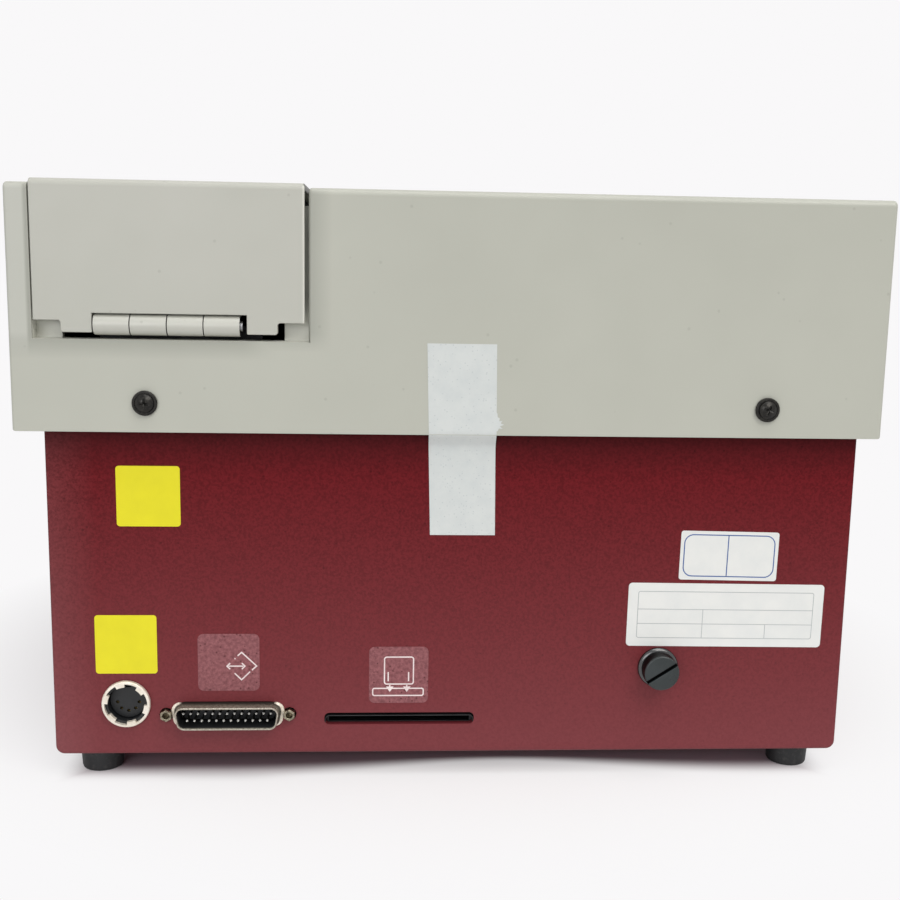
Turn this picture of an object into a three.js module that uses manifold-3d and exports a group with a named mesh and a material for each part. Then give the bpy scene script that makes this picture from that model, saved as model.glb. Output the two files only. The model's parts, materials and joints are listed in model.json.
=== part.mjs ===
// A bench analyzer with a hinged lid let into the rear corner of its top housing.
// Millimetres, +Z up. The front faces -Y, the rear with its sockets and its hinge faces +Y.
// The origin is under the middle of the instrument, on the surface that it stands on.

import * as THREE from 'three';
import Module from 'manifold-3d';
import { mergeVertices } from 'three/addons/utils/BufferGeometryUtils.js';

// Fits
const seatGap = 0.3; // between a piece and what it seats on
const runningGap = 0.15; // on the radius, round a shaft that turns or slides
const overrun = 2; // how far a cutting solid passes the face that it cuts

// Top housing
const coverOverhangLeft = 7.3; // beyond the -X side of the base
const coverOverhangRight = 10.1;
const coverDepth = 360;
const coverHeight = 89;
const coverWall = 3;
const coverSideRadius = 1.2;
const coverRearRadius = 2.4;
const coverFrontHeight = 42; // of the front face, under the console
const consoleRun = 165; // of the sloping console, measured level
const flangeThickness = 3; // of the flange that rests on the base

// Base tub
const baseWidth = 306.6;
const baseHeight = 126.4;
const baseWall = 3;
const baseCornerRadius = 3.4; // of the two lower corners, seen from behind
const baseEdgeRadius = 1.3; // round the rear and front faces
const baseRearStep = 4; // the rear of the base stands this far inside the rear of the top housing
const baseFrontStep = 8;

// Lid and the recess that it closes
const recessRail = 8.45; // strip of the top housing left outside the recess
const recessWidth = 99.05;
const recessBottom = 33.8; // above the seam
const lidWidth = 97.15;
const lidDepth = 118;
const lidWall = 3;
const lidProud = 1.5; // above the top housing
const lidRearRadius = 2.4;
const lidEdgeRadius = 0.5;
const lidFrontRadius = 1.4;
const lidEdgeGap = 0.4; // to the recess, on the +X side
const lidFrontGap = 1.2;
const lidBottom = 40.5; // of the two lower corners, above the seam
const tabBottom = 36.2; // of the two hinge tabs, above the seam
const tabInset = 9.8; // from the side of the lid to the tab
const tabWidth = 11.1;
const tabRadius = 1;
const fingerNotchRadius = 11;
const fingerNotchOffset = 3.7; // of its middle, beyond the front edge of the lid
const slotInset = 9.2; // from the side of the recess to the slot that the tabs swing into
const slotHeight = 9.2;

// Hinge
const hingeHeight = 39.05; // of its axis, above the seam
const knuckleRadius = 3.85;
const knuckleCount = 4;
const knuckleGap = 0.3;
const barrelLength = 52.4;
const barrelGap = 0.4; // from the barrel to the tab on the +X side
const leafThickness = 1.2;
const leafHeight = 21; // above the hinge axis
const hingePinRadius = 1.9;
const hingePinOverhang = 1;

// Screws that hold the top housing down
const coverScrewHeight = 10.8; // above the seam
const coverScrewInsetRight = 48; // from the +X side of the top housing
const coverScrewInsetLeft = 44.8;
const coverScrewRadius = 2;
const coverScrewHeadRadius = 3.3;
const coverScrewHeadHeight = 1.9;
const coverScrewHeadEdge = 1.2;
const coverScrewLength = 14;
const cupRadius = 4.65;
const cupHeight = 1;
const cupFloor = 0.4; // under the screw head
const cupEdge = 0.4;
const crossSlotWidth = 0.9;
const crossSlotLength = 3.6;
const crossSlotDepth = 1.1;
const bossWidth = 14;
const bossDepth = 10;
const bossRise = 18; // above the seam
const bossDrop = 24; // below the seam

// Feet
const footHeight = 9.5;
const footTopRadius = 8.4;
const footBottomRadius = 7.9;
const footEdgeRadius = 1;
const footSideInset = 15;
const footEndInset = 13;
const footScrewRadius = 2;
const footScrewHeadRadius = 3.4;
const footScrewHeadHeight = 2;
const footScrewRecess = 4; // from the standing face up to the head
const footScrewEnd = 6; // above the floor of the base

// Power socket
const powerFromSide = 27.5; // from the +X side of the base
const powerHeight = 20.7; // above the underside of the base
const powerRingRadius = 9.2;
const powerRingProud = 1.6;
const powerRingEdge = 0.5;
const powerBoreRadius = 7.2;
const powerBodyRadius = 8.4;
const powerBodyLength = 17;
const powerInsertRecess = 5;
const powerNotchCount = 6;
const powerNotchDepth = 0.9;
const powerNotchWidth = 3.4;
const powerKeyWidth = 2.2;
const powerKeyDepth = 1.6;
const powerContactCount = 5;
const powerContactCircle = 4.2;
const powerContactRadius = 0.65;
const powerContactDepth = 4;
const powerContactArc = (Math.PI * 160) / 180; // from the first contact to the last

// Serial socket
const serialFromSide = 66.05; // from the +X side of the base
const serialHeight = 16.1; // above the underside of the base
const serialShellHeight = 8.36;
const serialShellWall = 0.5;
const serialShellProud = 5.4;
const serialShellRadius = 2.6;
const serialShellSlope = (Math.PI * 10) / 180;
const serialFlangeEnd = 2.98; // of the flange, beyond the axis of a jackscrew
const serialFlangeHeight = 12;
const serialFlangeThickness = 1;
const serialBodyDepth = 9;
const serialPanelGap = 0.9; // round the shell, in the opening of the base
const serialPinMargin = 2.86; // from the side of the shell to the first pin
const serialRowPitch = 2.84;
const serialPinsPerRow = [13, 12];
const serialPinRadius = 0.5;
const serialPinLength = 4.8;
const jackscrewSpacing = 47.04;
const jackscrewToShell = 4.04; // from its axis to the side of the shell
const jackscrewRadius = 2.4;
const jackscrewLength = 5;
const jackscrewBore = 1.3;
const jackscrewBoreDepth = 4;
const jackscrewShank = 1.4;

// Card slot and reader
const cardFromSide = 132.1; // from the +X side of the base
const cardHeight = 14; // above the underside of the base
const cardSlotWidth = 58.2;
const cardSlotHeight = 4.8;
const cardSlotRadius = 1.9;
const readerWidth = 64;
const readerHeight = 7;
const readerDepth = 62;
const readerMouthWidth = 55;
const readerMouthHeight = 4.5;
const readerMouthDepth = 56;

// Fuse holder
const fuseFromSide = 73.5; // from the -X side of the base
const fuseAxisHeight = 34.7; // above the underside of the base
const capRadius = 6.9;
const capProud = 8; // beyond the rear face of the base
const capEdge = 0.7;
const capSlotWidth = 1.3;
const capSlotDepth = 1.6;
const capSlotTurn = (Math.PI * 33) / 180;
const capNeckRadius = 4.6;
const capNeckLength = 6;
const holderFlangeRadius = 8;
const holderFlangeHeight = 1.6;
const holderFlangeEdge = 0.5;
const holderBodyRadius = 6;
const holderBodyLength = 32;
const holderBoreRadius = 4.9;
const holderNutRadius = 8.6;
const holderNutLength = 4;
const fuseRadius = 2.6;
const fuseLength = 20;

// Main board and what stands on it
const boardWidth = 140;
const boardDepth = 118;
const boardThickness = 1.6;
const boardFromSide = 37.9; // from the +X side of the base
const standoffHeight = 4;
const standoffRadius = 3.5;
const standoffInset = 8;
const capacitorRadius = 9;
const capacitorHeight = 28;
const capacitorPitch = 22;
const capacitorEdge = 1.5;
const sinkWidth = 42;
const sinkDepth = 18;
const sinkHeight = 32;
const sinkBase = 4;
const sinkFinCount = 6;
const sinkFinThickness = 1.6;

// Measuring well and tray
const wellWidth = 74;
const wellLength = 72;
const wellRearMargin = 14; // from the recess to the opening of the well
const linerWall = 2.5;
const sealWidth = 6;
const sealInset = 2; // from the opening of the well
const trayTop = 38; // above the seam
const trayWidth = 62;
const trayLength = 62;
const trayHeight = 15;
const trayWall = 3;
const trayPocketDepth = 10;
const grooveCount = 5;
const grooveRadius = 4.6;
const grooveDepth = 1.8;
const trayPathLength = 90; // from the well to the detector
const linerClearance = 4; // from the liner down to the tray
const lugWidth = 12;
const lugHeight = 13;
const lugSpread = 46;
const rodRadius = 3;
const rodDrop = 7; // from the underside of the tray to the axis of the rods
const nutBlockWidth = 20;
const nutBlockLength = 18;
const nutRadius = 6;
const nutFlangeRadius = 8.5;
const nutFlangeThickness = 2.5;
const leadScrewRadius = 3.5;
const magnetRadius = 4;
const magnetThickness = 2.5;

// Frame of the tray drive
const frameWidth = 80;
const frameSheet = 3;
const frameEndHeight = 27;
const frameRearGap = 19; // from the rear face of the top housing
const frameRunOut = 42; // beyond the tray at its far end
const frameFlangeWidth = 12;
const frameLegFromFront = 36;
const frameLegWidth = 14;
const shelfWidth = 12;
const shelfHeight = 16;
const shelfReach = 22; // in from the rear wall of the base
const bearingRadius = 5;
const couplerRadius = 8;
const couplerLength = 18;
const motorSize = 35;
const motorLength = 26;
const motorCorner = 4;
const motorPilotRadius = 9;
const motorPilotHeight = 2;
const motorShaftRadius = 2.5;

// Detector
const detectorLength = 60;
const detectorGap = 4; // from the tray up to the detector housing
const detectorHeight = 36;
const detectorSideClearance = 2.5;
const detectorLeg = 3.5;
const detectorTubeRadius = 14;
const detectorTubeLength = 56;
const detectorWindowWidth = 40;
const detectorWindowLength = 14;
const detectorSocketRadius = 14;
const detectorSocketLength = 8;

// Console
const displayKeypadGap = 31;
const displayHeight = 44;
const displayFromSide = 34; // from the -X side of the top housing
const displayFromBreak = 24; // down the slope
const windowThickness = 2;
const windowBorder = 5;
const windowRadius = 3;
const displayModuleDepth = 10;
const keypadWidth = 96;
const keypadHeight = 104;
const keypadFromSide = 34; // from the +X side of the top housing
const keypadFromBreak = 24;
const keypadThickness = 1.4;
const keypadRadius = 5;
const keypadRecess = 1;
const keyColumns = 4;
const keyRows = 5;
const keyWidth = 16;
const keyHeight = 13;
const keyProud = 0.8;
const keyRadius = 2;

// Steps of round shapes
const roundSteps = 24;
const smallRoundSteps = 12;
const cornerSteps = 3;
const edgeSteps = 3;
const keySteps = 1;
const contactSteps = 8;
const pinSteps = 6;
const hexSides = 6;

// How far the middle of a round rim lies in from its corner, of the radius
const arcShare = 1 - Math.SQRT1_2;

// Places that follow from the sizes above
const seamZ = footHeight + baseHeight;
const coverTopZ = seamZ + coverHeight;
const capReach = capProud - baseRearStep;
const rearY = (coverDepth - capReach) / 2;
const frontY = rearY - coverDepth;
const coverWidth = baseWidth + coverOverhangLeft + coverOverhangRight;
const baseRightX = coverWidth / 2 - coverOverhangRight;
const baseLeftX = baseRightX - baseWidth;
const baseX = (baseLeftX + baseRightX) / 2;
const coverScrewX = [coverWidth / 2 - coverScrewInsetRight, coverScrewInsetLeft - coverWidth / 2];
const baseRearY = rearY - baseRearStep;
const baseFrontY = frontY + baseFrontStep;
const baseInnerRearY = baseRearY - baseWall;
const baseFloorZ = footHeight + baseWall;
const flangeTopZ = seamZ + flangeThickness;
const consoleBreakY = frontY + consoleRun;
const consoleAngle = Math.atan2(coverHeight - coverFrontHeight, consoleRun);

const recessDepth = lidWall + 2 * leafThickness + 3 * seatGap;
const recessRightX = coverWidth / 2 - recessRail;
const recessLeftX = recessRightX - recessWidth;
const recessFrontY = rearY - lidDepth - lidFrontGap;
const recessBottomZ = seamZ + recessBottom;
const deckTopZ = coverTopZ - recessDepth;
const lidRightX = recessRightX - lidEdgeGap;
const lidLeftX = lidRightX - lidWidth;
const lidTopZ = coverTopZ + lidProud;
const lidFrontY = rearY - lidDepth;
const tabRightX = lidRightX - tabInset;
const tabLeftX = lidLeftX + tabInset;
const hingeY = rearY - lidWall;
const hingeZ = seamZ + hingeHeight;
const barrelRightX = tabRightX - tabWidth - barrelGap;
const barrelLeftX = barrelRightX - barrelLength;
const knuckleLength = (barrelLength - (knuckleCount - 1) * knuckleGap) / knuckleCount;
const knuckleBore = hingePinRadius + runningGap;
const hingeClearRadius = knuckleRadius + seatGap;

const wellX = (lidLeftX + lidRightX) / 2;
const wellRearY = rearY - recessDepth - wellRearMargin;
const wellFrontY = wellRearY - wellLength;
const trayTopZ = seamZ + trayTop;
const trayBottomZ = trayTopZ - trayHeight;
const trayRearY = (wellRearY + wellFrontY) / 2 + trayLength / 2;
const trayFrontY = trayRearY - trayLength;
const trayMiddleY = (trayRearY + trayFrontY) / 2;
const rodZ = trayBottomZ - rodDrop;
const frameRearY = rearY - frameRearGap;
const frameFrontY = trayFrontY - trayPathLength - frameRunOut;
const frameFloorZ = seamZ + seatGap;
const frameFloorTopZ = frameFloorZ + frameSheet;
const motorY = frameFrontY - seatGap;
const couplerRearY = frameFrontY + frameSheet + seatGap + couplerLength;

const powerX = baseRightX - powerFromSide;
const powerZ = footHeight + powerHeight;
const serialX = baseRightX - serialFromSide;
const serialShellWidth = jackscrewSpacing - 2 * jackscrewToShell;
const serialFlangeWidth = jackscrewSpacing + 2 * serialFlangeEnd;
const serialPinPitch = (serialShellWidth - 2 * serialPinMargin) / (serialPinsPerRow[0] - 1);
const serialZ = footHeight + serialHeight;
const cardX = baseRightX - cardFromSide;
const cardZ = footHeight + cardHeight;
const fuseX = baseLeftX + fuseFromSide;
const fuseZ = footHeight + fuseAxisHeight;
const boardX = baseRightX - boardFromSide - boardWidth / 2;
const boardRearY = baseInnerRearY - seatGap;
const boardFrontY = boardRearY - boardDepth;
const boardTopZ = baseFloorZ + 2 * seatGap + standoffHeight + boardThickness;
const boardBottomZ = boardTopZ - boardThickness;

// Materials
const finish = (color, roughness, metalness = 0) =>
  new THREE.MeshStandardMaterial({ color, roughness, metalness });
const greyPaint = finish(0xc3c3b7, 0.5);
const burgundyPaint = finish(0x752a30, 0.6);
const creamPaint = finish(0xdeddd4, 0.45);
const blackRubber = finish(0x1f2023, 0.9);
const blackPlastic = finish(0x17181a, 0.45);
const blackScrew = finish(0x222224, 0.4, 0.6);
const tinnedSteel = finish(0x9c978a, 0.35, 0.9);
const brightSteel = finish(0xb9bcc0, 0.3, 0.9);
const aluminium = finish(0xa9adb0, 0.4, 0.9);
const brass = finish(0xb99a55, 0.35, 0.9);
const greenBoard = finish(0x2b5a3c, 0.5);
const greyFoam = finish(0x3a3b3d, 0.95);
const clearGlass = finish(0xb9cfc8, 0.1);
const keypadFilm = finish(0xd8d6cc, 0.6);
const canBlue = finish(0x24384f, 0.4);

// Solids
const wasm = await Module();
wasm.setup();

// The volume is negative when the faces of a closed geometry point inwards.
function signedVolume(vertices, triangles) {
  const a = new THREE.Vector3();
  const b = new THREE.Vector3();
  const c = new THREE.Vector3();
  let volume = 0;
  for (let i = 0; i < triangles.length; i += 3) {
    a.fromArray(vertices, 3 * triangles[i]);
    b.fromArray(vertices, 3 * triangles[i + 1]);
    c.fromArray(vertices, 3 * triangles[i + 2]);
    volume += a.dot(b.cross(c));
  }
  return volume;
}

// Turns a closed geometry into a solid that can be joined and cut.
function toSolid(geometry) {
  const bare = new THREE.BufferGeometry();
  bare.setAttribute('position', geometry.getAttribute('position').clone());
  bare.setIndex(geometry.getIndex());
  const merged = mergeVertices(bare);
  const vertProperties = new Float32Array(merged.getAttribute('position').array);
  const kept = [];
  const index = merged.getIndex().array;
  for (let i = 0; i < index.length; i += 3) {
    const [a, b, c] = [index[i], index[i + 1], index[i + 2]];
    if (a !== b && b !== c && c !== a) kept.push([a, b, c]);
  }
  const inward = signedVolume(vertProperties, kept.flat()) < 0;
  const triVerts = new Uint32Array(kept.flatMap(([a, b, c]) => (inward ? [a, c, b] : [a, b, c])));
  return new wasm.Manifold(new wasm.Mesh({ numProp: 3, vertProperties, triVerts }));
}

function toGeometry(solid) {
  const mesh = solid.getMesh();
  const geometry = new THREE.BufferGeometry();
  geometry.setAttribute('position', new THREE.BufferAttribute(new Float32Array(mesh.vertProperties), 3));
  geometry.setIndex(new THREE.BufferAttribute(new Uint32Array(mesh.triVerts), 1));
  geometry.computeVertexNormals();
  return geometry;
}

const join = (...solids) => solids.reduce((whole, solid) => whole.add(solid));
const cut = (solid, ...tools) => tools.reduce((rest, tool) => rest.subtract(tool), solid);

// A box between two corners.
function block([x0, y0, z0], [x1, y1, z1]) {
  const box = new THREE.BoxGeometry(x1 - x0, y1 - y0, z1 - z0);
  return toSolid(box.translate((x0 + x1) / 2, (y0 + y1) / 2, (z0 + z1) / 2));
}

// Where a flat shape's own axes and its direction of extrusion go, for each way that it can face.
const facings = {
  x: [new THREE.Vector3(0, 1, 0), new THREE.Vector3(0, 0, 1), new THREE.Vector3(1, 0, 0)],
  y: [new THREE.Vector3(-1, 0, 0), new THREE.Vector3(0, 0, 1), new THREE.Vector3(0, 1, 0)],
  z: [new THREE.Vector3(1, 0, 0), new THREE.Vector3(0, 1, 0), new THREE.Vector3(0, 0, 1)],
};

// Extrudes a flat shape along an axis between two places, with its origin at the given point, and rounds the
// edges of both ends. A shape facing y is seen from the rear of the instrument: its own x runs to -X.
function extrude(shape, facing, start, end, origin = [0, 0, 0], edge = 0) {
  const geometry = new THREE.ExtrudeGeometry(shape, {
    depth: end - start - 2 * edge,
    bevelEnabled: edge > 0,
    bevelThickness: edge,
    bevelSize: edge,
    bevelOffset: -edge,
    bevelSegments: edgeSteps,
    curveSegments: cornerSteps,
    steps: 1,
  });
  geometry.translate(0, 0, start + edge);
  geometry.applyMatrix4(new THREE.Matrix4().makeBasis(...facings[facing]));
  return toSolid(geometry.translate(...origin));
}

// A round bar along an axis between two places.
function bar(facing, radius, start, end, [x, y, z], steps = roundSteps) {
  const geometry = new THREE.CylinderGeometry(radius, radius, end - start, steps);
  geometry.rotateX(Math.PI / 2);
  geometry.translate(0, 0, (start + end) / 2);
  geometry.applyMatrix4(new THREE.Matrix4().makeBasis(...facings[facing]));
  return toSolid(geometry.translate(x, y, z));
}

// Turns a profile of [radius, height] points, which starts and ends on the axis.
function turned(profile, facing, [x, y, z], steps = roundSteps) {
  const geometry = new THREE.LatheGeometry(profile.map(([r, h]) => new THREE.Vector2(r, h)), steps);
  geometry.rotateX(Math.PI / 2);
  geometry.applyMatrix4(new THREE.Matrix4().makeBasis(...facings[facing]));
  return toSolid(geometry.translate(x, y, z));
}

// The points of a turned profile that round its upper rim.
const rim = (radius, height, edge) => [
  [radius, height - edge],
  [radius - edge * arcShare, height - edge * arcShare],
  [radius - edge, height],
];

// A rectangle about the origin with round corners.
function roundedRectangle(width, height, radius) {
  const [x, y] = [width / 2 - radius, height / 2 - radius];
  const shape = new THREE.Shape();
  shape.absarc(x, y, radius, 0, Math.PI / 2);
  shape.absarc(-x, y, radius, Math.PI / 2, Math.PI);
  shape.absarc(-x, -y, radius, Math.PI, (3 * Math.PI) / 2);
  shape.absarc(x, -y, radius, (3 * Math.PI) / 2, 2 * Math.PI);
  return shape;
}

// A closed outline whose corners are rounded, each by the radius that follows its point.
function roundedOutline(corners) {
  const path = new THREE.Shape();
  const count = corners.length;
  corners.forEach(([x, y, radius = 0], i) => {
    const corner = new THREE.Vector2(x, y);
    const [px, py] = corners[(i + count - 1) % count];
    const [nx, ny] = corners[(i + 1) % count];
    const back = new THREE.Vector2(px, py).sub(corner).normalize();
    const ahead = new THREE.Vector2(nx, ny).sub(corner).normalize();
    if (radius === 0) {
      if (i === 0) path.moveTo(x, y);
      else path.lineTo(x, y);
      return;
    }
    const half = back.angleTo(ahead) / 2;
    const reach = radius / Math.tan(half);
    const from = corner.clone().addScaledVector(back, reach);
    const bisector = back.clone().add(ahead).normalize();
    const centre = corner.clone().addScaledVector(bisector, radius / Math.sin(half));
    const to = corner.clone().addScaledVector(ahead, reach);
    const clockwise = back.cross(ahead) > 0;
    if (i === 0) path.moveTo(from.x, from.y);
    else path.lineTo(from.x, from.y);
    const startAngle = from.sub(centre).angle();
    path.absarc(centre.x, centre.y, radius, startAngle, to.sub(centre).angle(), clockwise);
  });
  path.closePath();
  return path;
}

const model = new THREE.Group();

function addPiece(name, material, solid) {
  const mesh = new THREE.Mesh(toGeometry(solid), material.clone());
  mesh.name = name;
  model.add(mesh);
}

// Top housing

// The side view of the top housing, drawn in by a wall: a flat roof, a sloping console and a front face.
function coverProfile(inset, bottomZ, rearRadius) {
  const rear = rearY - inset;
  const front = frontY + inset;
  const roof = coverTopZ - inset;
  const breakY = consoleBreakY + inset * Math.tan(consoleAngle / 2);
  const consoleFrontZ = roof - (breakY - front) * Math.tan(consoleAngle);
  return roundedOutline([
    [rear, bottomZ],
    [rear, roof, rearRadius],
    [breakY, roof],
    [front, consoleFrontZ, rearRadius],
    [front, bottomZ],
  ]);
}

function coverBody(inset, bottomZ, edge) {
  const reach = coverWidth / 2 - inset;
  return extrude(coverProfile(inset, bottomZ, coverRearRadius), 'x', -reach, reach, [0, 0, 0], edge);
}

// Space over the rear corner that the lid closes: a deck under the roof and a step in the rear wall.
function recess(grow) {
  const left = recessLeftX - grow;
  const right = recessRightX + grow;
  const rearStep = block(
    [left, rearY - recessDepth - grow, recessBottomZ - grow],
    [right, rearY + overrun, coverTopZ + overrun],
  );
  const deckStep = block(
    [left, recessFrontY - grow, deckTopZ - grow],
    [right, rearY + overrun, coverTopZ + overrun],
  );
  return join(rearStep, deckStep);
}

// The slot in the recess through which the hinge tabs of the lid swing inwards.
function hingeSlot() {
  return block(
    [recessLeftX + slotInset, rearY - recessDepth - 2 * coverWall, recessBottomZ],
    [recessRightX - slotInset, rearY, recessBottomZ + slotHeight],
  );
}

function wellOpening(grow, bottomZ, topZ) {
  return block(
    [wellX - wellWidth / 2 - grow, wellFrontY - grow, bottomZ],
    [wellX + wellWidth / 2 + grow, wellRearY + grow, topZ],
  );
}

// A flat panel on the slope of the console, from a distance above its surface down into it.
const slopeFacing = new THREE.Matrix4().makeRotationX(consoleAngle);
function onConsole(shape, middleX, downSlope, height, bottom, top, curveSegments = cornerSteps) {
  const flat = new THREE.ExtrudeGeometry(shape, { depth: top - bottom, bevelEnabled: false, curveSegments });
  flat.translate(0, -downSlope - height / 2, bottom);
  flat.applyMatrix4(slopeFacing);
  return toSolid(flat.translate(middleX, consoleBreakY, coverTopZ));
}

const keypadX = coverWidth / 2 - keypadFromSide - keypadWidth / 2;
const displayWidth = coverWidth - displayFromSide - displayKeypadGap - keypadWidth - keypadFromSide;
const displayX = -coverWidth / 2 + displayFromSide + displayWidth / 2;

function displayPanel(grow, bottom, top) {
  const radius = windowRadius + Math.max(grow, 0);
  const shape = roundedRectangle(displayWidth + 2 * grow, displayHeight + 2 * grow, radius);
  return onConsole(shape, displayX, displayFromBreak, displayHeight, bottom, top);
}

function keypadPanel(grow, bottom, top) {
  const shape = roundedRectangle(keypadWidth + 2 * grow, keypadHeight + 2 * grow, keypadRadius + grow);
  return onConsole(shape, keypadX, keypadFromBreak, keypadHeight, bottom, top);
}

function topHousing() {
  const outer = coverBody(0, seamZ, coverSideRadius);
  const hollow = coverBody(coverWall, flangeTopZ, 0);
  const flangeOpening = block(
    [baseLeftX + baseWall, baseFrontY + baseWall, seamZ - overrun],
    [baseRightX - baseWall, baseInnerRearY, flangeTopZ + overrun],
  );
  const pan = recess(coverWall).intersect(coverBody(0, flangeTopZ, coverSideRadius));
  const shell = join(cut(outer, hollow, flangeOpening), pan);
  const screwHoles = coverScrewX.map((x) =>
    bar('y', coverScrewRadius + runningGap, rearY - coverWall - overrun, rearY + overrun,
      [x, 0, seamZ + coverScrewHeight], smallRoundSteps));
  return cut(
    shell,
    recess(0),
    hingeSlot(),
    wellOpening(0, deckTopZ - coverWall - overrun, deckTopZ + overrun),
    displayPanel(seatGap, -windowThickness, overrun),
    displayPanel(-windowBorder, -coverWall - overrun, overrun),
    keypadPanel(seatGap, -keypadRecess, overrun),
    ...screwHoles,
  );
}

// Base tub

// A trough whose two lower corners are round, with rounded edges at both ends, cut off flat at the top.
function tubBody(inset, bottomZ, topZ) {
  const half = baseWidth / 2 - inset;
  const corner = Math.max(baseCornerRadius - inset, 0);
  const edge = Math.max(baseEdgeRadius - inset, 0);
  const shape = roundedOutline([
    [half, topZ + overrun],
    [-half, topZ + overrun],
    [-half, bottomZ, corner],
    [half, bottomZ, corner],
  ]);
  const body = extrude(shape, 'y', baseFrontY + inset, baseRearY - inset, [baseX, 0, 0], edge);
  return cut(body, block(
    [baseX - baseWidth, baseFrontY - overrun, topZ],
    [baseX + baseWidth, baseRearY + overrun, topZ + 2 * overrun],
  ));
}

function screwBoss(x) {
  const below = block(
    [x - bossWidth / 2, baseInnerRearY - bossDepth, seamZ - bossDrop],
    [x + bossWidth / 2, baseInnerRearY + baseWall / 2, seamZ - seatGap],
  );
  const above = block(
    [x - bossWidth / 2, baseInnerRearY - bossDepth, seamZ - bossDrop],
    [x + bossWidth / 2, baseInnerRearY - seatGap, seamZ + bossRise],
  );
  const hole = bar('y', coverScrewRadius + runningGap, baseInnerRearY - bossDepth - overrun,
    baseInnerRearY + overrun, [x, 0, seamZ + coverScrewHeight], smallRoundSteps);
  return cut(join(below, above), hole);
}

// A bracket inside the rear wall that carries the rear of the tray frame.
function frameShelf(x) {
  return block(
    [x - shelfWidth / 2, baseInnerRearY - shelfReach, seamZ - shelfHeight],
    [x + shelfWidth / 2, baseInnerRearY + baseWall / 2, seamZ],
  );
}

const shelfX = [-1, 1].map((side) => wellX + side * (frameWidth - shelfWidth) / 2);

function footPlaces() {
  const places = [];
  for (const [endName, y] of [['rear', baseRearY - footEndInset], ['front', baseFrontY + footEndInset]]) {
    for (const [sideName, side] of [['left', -1], ['right', 1]]) {
      places.push([`${endName}_${sideName}`, baseX + side * (baseWidth / 2 - footSideInset), y]);
    }
  }
  return places;
}

// The D outline of the serial socket, wide row on top, grown all round.
function serialOutline(grow) {
  const half = serialShellWidth / 2 + grow;
  const tall = serialShellHeight / 2 + grow;
  const drawIn = 2 * tall * Math.tan(serialShellSlope);
  const radius = serialShellRadius + grow;
  return roundedOutline([
    [-half, tall, radius],
    [-half + drawIn, -tall, radius],
    [half - drawIn, -tall, radius],
    [half, tall, radius],
  ]);
}

const cardSlotShape = () => roundedRectangle(cardSlotWidth, cardSlotHeight, cardSlotRadius);

function baseTub() {
  const shell = cut(
    tubBody(0, footHeight, seamZ - seatGap),
    tubBody(baseWall, baseFloorZ, seamZ + overrun),
  );
  const wallFrom = baseInnerRearY - overrun;
  const wallTo = baseRearY + overrun;
  const jackHoles = [-1, 1].map((side) =>
    bar('y', jackscrewRadius + seatGap, wallFrom, wallTo,
      [serialX + (side * jackscrewSpacing) / 2, 0, serialZ], smallRoundSteps));
  const footHoles = footPlaces().map(([, x, y]) =>
    bar('z', footScrewRadius + runningGap, footHeight - overrun, baseFloorZ + overrun, [x, y, 0],
      smallRoundSteps));
  const solid = join(shell, ...coverScrewX.map(screwBoss), ...shelfX.map(frameShelf));
  return cut(
    solid,
    bar('y', powerBodyRadius + seatGap, wallFrom, wallTo, [powerX, 0, powerZ]),
    extrude(serialOutline(serialPanelGap), 'y', wallFrom, wallTo, [serialX, 0, serialZ]),
    extrude(cardSlotShape(), 'y', wallFrom, wallTo, [cardX, 0, cardZ]),
    bar('y', holderBodyRadius + seatGap, wallFrom, wallTo, [fuseX, 0, fuseZ]),
    ...jackHoles,
    ...footHoles,
  );
}

function foot(x, y) {
  const body = turned([
    [0, 0],
    [footBottomRadius - footEdgeRadius, 0],
    [footBottomRadius - footEdgeRadius * arcShare, footEdgeRadius * arcShare],
    [footBottomRadius, footEdgeRadius],
    [footTopRadius, footHeight - seatGap],
    [0, footHeight - seatGap],
  ], 'z', [x, y, 0]);
  return cut(
    body,
    bar('z', footScrewHeadRadius + seatGap, -overrun, footScrewRecess + footScrewHeadHeight, [x, y, 0],
      smallRoundSteps),
    bar('z', footScrewRadius + runningGap, 0, footHeight + overrun, [x, y, 0], smallRoundSteps),
  );
}

function footScrew(x, y) {
  const headTop = footScrewRecess + footScrewHeadHeight - seatGap;
  const head = bar('z', footScrewHeadRadius, footScrewRecess, headTop, [x, y, 0], smallRoundSteps);
  const shank = bar('z', footScrewRadius, footScrewRecess + footScrewHeadHeight / 2, baseFloorZ + footScrewEnd,
    [x, y, 0], smallRoundSteps);
  return join(head, shank);
}

// Two crossed slots cut into a screw head that faces the rear.
function crossSlots(x, headY, z) {
  return [[crossSlotLength, crossSlotWidth], [crossSlotWidth, crossSlotLength]].map(([wide, tall]) => block(
    [x - wide / 2, headY - crossSlotDepth, z - tall / 2],
    [x + wide / 2, headY + overrun, z + tall / 2],
  ));
}

function coverScrew(x) {
  const z = seamZ + coverScrewHeight;
  const seatY = rearY + seatGap + cupFloor + seatGap;
  const headY = seatY + coverScrewHeadHeight;
  const head = turned([
    [0, seatY],
    [coverScrewHeadRadius, seatY],
    ...rim(coverScrewHeadRadius, headY, coverScrewHeadEdge),
    [0, headY],
  ], 'y', [x, 0, z], smallRoundSteps);
  const shank = bar('y', coverScrewRadius, headY - coverScrewLength, seatY + coverScrewHeadHeight / 2,
    [x, 0, z], smallRoundSteps);
  return cut(join(head, shank), ...crossSlots(x, headY, z));
}

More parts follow.
